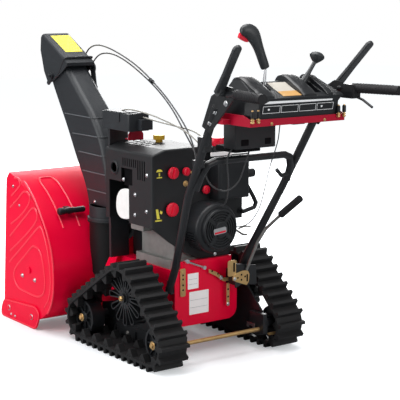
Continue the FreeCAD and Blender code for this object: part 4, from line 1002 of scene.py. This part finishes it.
# %% [markdown]
# ## Cables and cords
# Two sheathed cables tilt the hood, two turn the chute, and three cords serve the engine. Each is a NURBS
# line through its route, and a tube follows that line, so it hangs in one smooth bow. A curve with a bevel
# would do at rest; here the tube is a mesh, and the two that tilt the hood ride on no body.

# %% Cable tools
def cable_line(name, route):
    """The smooth line of a cable, as points in metres."""
    curve = bpy.data.curves.new(name + "_line", "CURVE")
    curve.dimensions = "3D"
    curve.resolution_u = 10
    spline = curve.splines.new("NURBS")
    spline.points.add(len(route) - 1)
    for point, place in zip(spline.points, route):
        point.co = (*(Vector(place) * 0.001), 1.0)
    spline.use_endpoint_u = True
    spline.order_u = 3
    guide = bpy.data.objects.new(name + "_line", curve)
    bpy.context.scene.collection.objects.link(guide)
    bpy.context.view_layer.update()
    mesh = bpy.data.meshes.new_from_object(guide)
    line = [tuple(v.co) for v in mesh.vertices]
    bpy.data.meshes.remove(mesh)
    bpy.data.objects.remove(guide)
    bpy.data.curves.remove(curve)
    return line


def cable(name, route, node=None, material=cable_sheath, thick=0.006, bends=False):
    """Tube along a route, for a cable solid if it has a node; one that bends starts on the chute."""
    line = cable_line(name, route)
    bm = bmesh.new()
    swept(bm, [Vector(p) * 1000 for p in line], thick * 500, 12)
    tube = piece(name, bm, material, None if bends else "chassis")
    if bends:
        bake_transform(tube)
    if node:
        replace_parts(tube, node)


# %% Cables that turn the chute
cable("turning_cable_upper",
      [(-180, 228, 927), (-182, 190, 938), (-186, 140, 943), (-190, 82, 943), (-196, 10, 939),
       (-203, -62, 933), (-210, -134, 924), (-216, -206, 913), (-222, -274, 901), (-227, -334, 884),
       (-229, -388.2, 858)],
      "gear_cable_upper", pale_sheath)
cable("turning_cable_lower",
      [(-160, 89, 915), (-163, 50, 914), (-169, 0, 911), (-175, -62, 908), (-181, -128, 906),
       (-188, -194, 904), (-196, -256, 903), (-206, -312, 900), (-215, -354, 894), (-221, -388.2, 885)],
      "gear_cable_lower", pale_sheath)

# %% Cables that tilt the hood
UPPER = [(-43, 716, 1116), (-43, 694, 1146), (-46, 648, 1166), (-56, 585, 1174), (-68, 514, 1171),
         (-79, 438, 1161), (-90, 362, 1147), (-101, 286, 1130), (-112, 212, 1111), (-123, 140, 1088),
         (-135, 70, 1063), (-147, 2, 1036), (-159, -62, 1010), (-171, -122, 982), (-183, -178, 954),
         (-195, -230, 926), (-209, -278, 900), (-218, -318, 866), (-223, -343, 833), (-226, -356, 802.3)]
LOWER = [(-43, 646, 1098.4), (-45, 614, 1122), (-56, 562, 1137), (-68, 498, 1144), (-79, 428, 1142),
         (-90, 356, 1132), (-101, 284, 1116), (-113, 212, 1097), (-125, 140, 1075), (-137, 70, 1052),
         (-149, 2, 1027), (-161, -62, 1000), (-174, -122, 972), (-188, -178, 943), (-202, -230, 912),
         (-210, -274, 880), (-214, -309, 852), (-216, -336, 826), (-217, -355, 802.3)]
clip = single("cable_clip", black_moulding, swept, [(-135, 72, 1060), (-139, 50, 1052)], 8.5, 16, body=None)
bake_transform(clip)
cable("tilt_cable_upper", UPPER, "hood_cable_upper", bends=True)
cable("tilt_cable_lower", LOWER, "hood_cable_lower", bends=True)

# %% Cords of the two switches and the throttle
cable("switch_cord", [(-134, -445, 843.5), (-140, -430, 820), (-134, -415, 801), (-118, -400, 762),
                      (-92, -370, 716), (-62, -330, 671), (-24, -270, 620), (10, -206, 592), (14, -186, 588)])
cable("stop_cord", [(-192, -358, 757), (-176, -350, 730), (-154, -346, 703), (-120, -344, 682),
                    (-85, -350, 674), (-62, -365, 690), (-56, -388, 715), (-56, -408, 750), (-55, -424, 789),
                    (-52, -436, 820), (-51, -445, 843.5)])
cable("throttle_cord", [(88, -446, 942.5), (90, -435, 878), (89, -430, 853), (82, -420, 811), (78, -410, 784),
                        (79, -390, 737), (84, -370, 693), (98, -330, 622), (112, -290, 572), (130, -230, 526),
                        (140, -178, 496), (128, -132, 484), (107, -118, 488)], thick=0.004)

# %% [markdown]
# ## The set
# A pale floor, a wide soft lamp overhead and three more round the machine, as in a catalogue studio. The
# floor could be lit until it burns out, but then the machine burns out too. Instead the floor gets a lift
# that only camera rays see, and mirror rays see it dark, so the paint keeps its colour and its depth.

# %% Floor
bm = bmesh.new()
bmesh.ops.create_grid(bm, x_segments=8, y_segments=8, size=14.0)
mesh = bpy.data.meshes.new("studio_floor")
bm.to_mesh(mesh)
bm.free()
floor = bpy.data.objects.new("studio_floor", mesh)
bpy.context.scene.collection.objects.link(floor)
floor.location.z = -0.0005
paper = bpy.data.materials.new("white_paper")
paper.use_nodes = True
tree = paper.node_tree
tree.nodes.remove(tree.nodes["Principled BSDF"])
ray = add(tree, "LightPath").outputs
tone = mixed(tree, ray["Is Glossy Ray"], (0.80, 0.82, 0.84, 1), (0.22, 0.23, 0.24, 1))
# The lift is weak within half a metre of a point under the machine and full beyond about a metre: painted
# light, which whitens the floor over the far part of the machine's shadow and leaves it dark only close under
# the machine.
reach = add(tree, "VectorMath", add(tree, "TexCoord").outputs["Object"], (0.05, 0.45, 0))
reach.operation = "DISTANCE"
rise = add(tree, "MapRange", Value=reach.outputs["Value"], From_Min=0.5, From_Max=1.1, To_Min=0.16,
           To_Max=0.8)
lift = add(tree, "Emission", Color=(0.95, 0.98, 1, 1),
           Strength=maths(tree, "MULTIPLY", ray["Is Camera Ray"], rise.outputs["Result"]))
both = add(tree, "AddShader", add(tree, "BsdfDiffuse", Color=tone).outputs[0], lift.outputs[0])
fill(tree.nodes["Material Output"], Surface=both.outputs[0])
mesh.materials.append(paper)
print("floor", len(mesh.polygons), "faces")

# %% World
world = bpy.data.worlds.new("studio")
bpy.context.scene.world = world
world.use_nodes = True
tree = world.node_tree
LIGHTS, LOOKS = 0.28, 1  # how bright the world lights the machine, and how bright it looks behind it
seen = maths(tree, "MULTIPLY", add(tree, "LightPath").outputs["Is Camera Ray"], LOOKS - LIGHTS)
fill(tree.nodes["Background"], Color=(1, 1, 1, 1), Strength=maths(tree, "ADD", seen, LIGHTS))
print("world lights with", LIGHTS, "and looks", LOOKS)

# %% Lamps
def lamp(name, place, aim, size, power):
    """A square lamp (m, W) that faces the point it is aimed at."""
    light = bpy.data.lights.new(name, "AREA")
    light.size = size
    light.energy = power
    holder = bpy.data.objects.new(name, light)
    holder.location = place
    holder.rotation_euler = (Vector(aim) - Vector(place)).to_track_quat("-Z", "Y").to_euler()
    bpy.context.scene.collection.objects.link(holder)
    print(name, power, "W")


lamp("overhead", (-0.5, 0.2, 3.6), (0, 0, 0.5), 3, 130)
lamp("left_key", (-3.6, 1, 1.9), (0, 0.2, 0.5), 2.4, 75)
lamp("rear_fill", (0.6, -3.8, 1.8), (0, 0, 0.6), 2.4, 38)
lamp("back_panel", (2.8, 4, 2.1), (0, 0, 0.7), 3.6, 260)

# %% [markdown]
# A catalogue view is taken from well away with a long lens, so that near and far parts keep their
# proportions. A short lens close by would also fill the frame, but it would swell the handlebars.

# %% Camera
lens = bpy.data.cameras.new("catalogue_view")
lens.sensor_width = 36
lens.lens = 112.86
lens.clip_end = 60
viewer = bpy.data.objects.new("catalogue_view", lens)
viewer.location = (-2.824, -3.955, 1.4)
viewer.rotation_euler = (math.radians(80.5), 0, math.radians(-36))
bpy.context.scene.collection.objects.link(viewer)
bpy.context.scene.camera = viewer
bpy.context.scene.view_settings.view_transform = "Standard"
print("lens", round(lens.lens, 2), "mm")
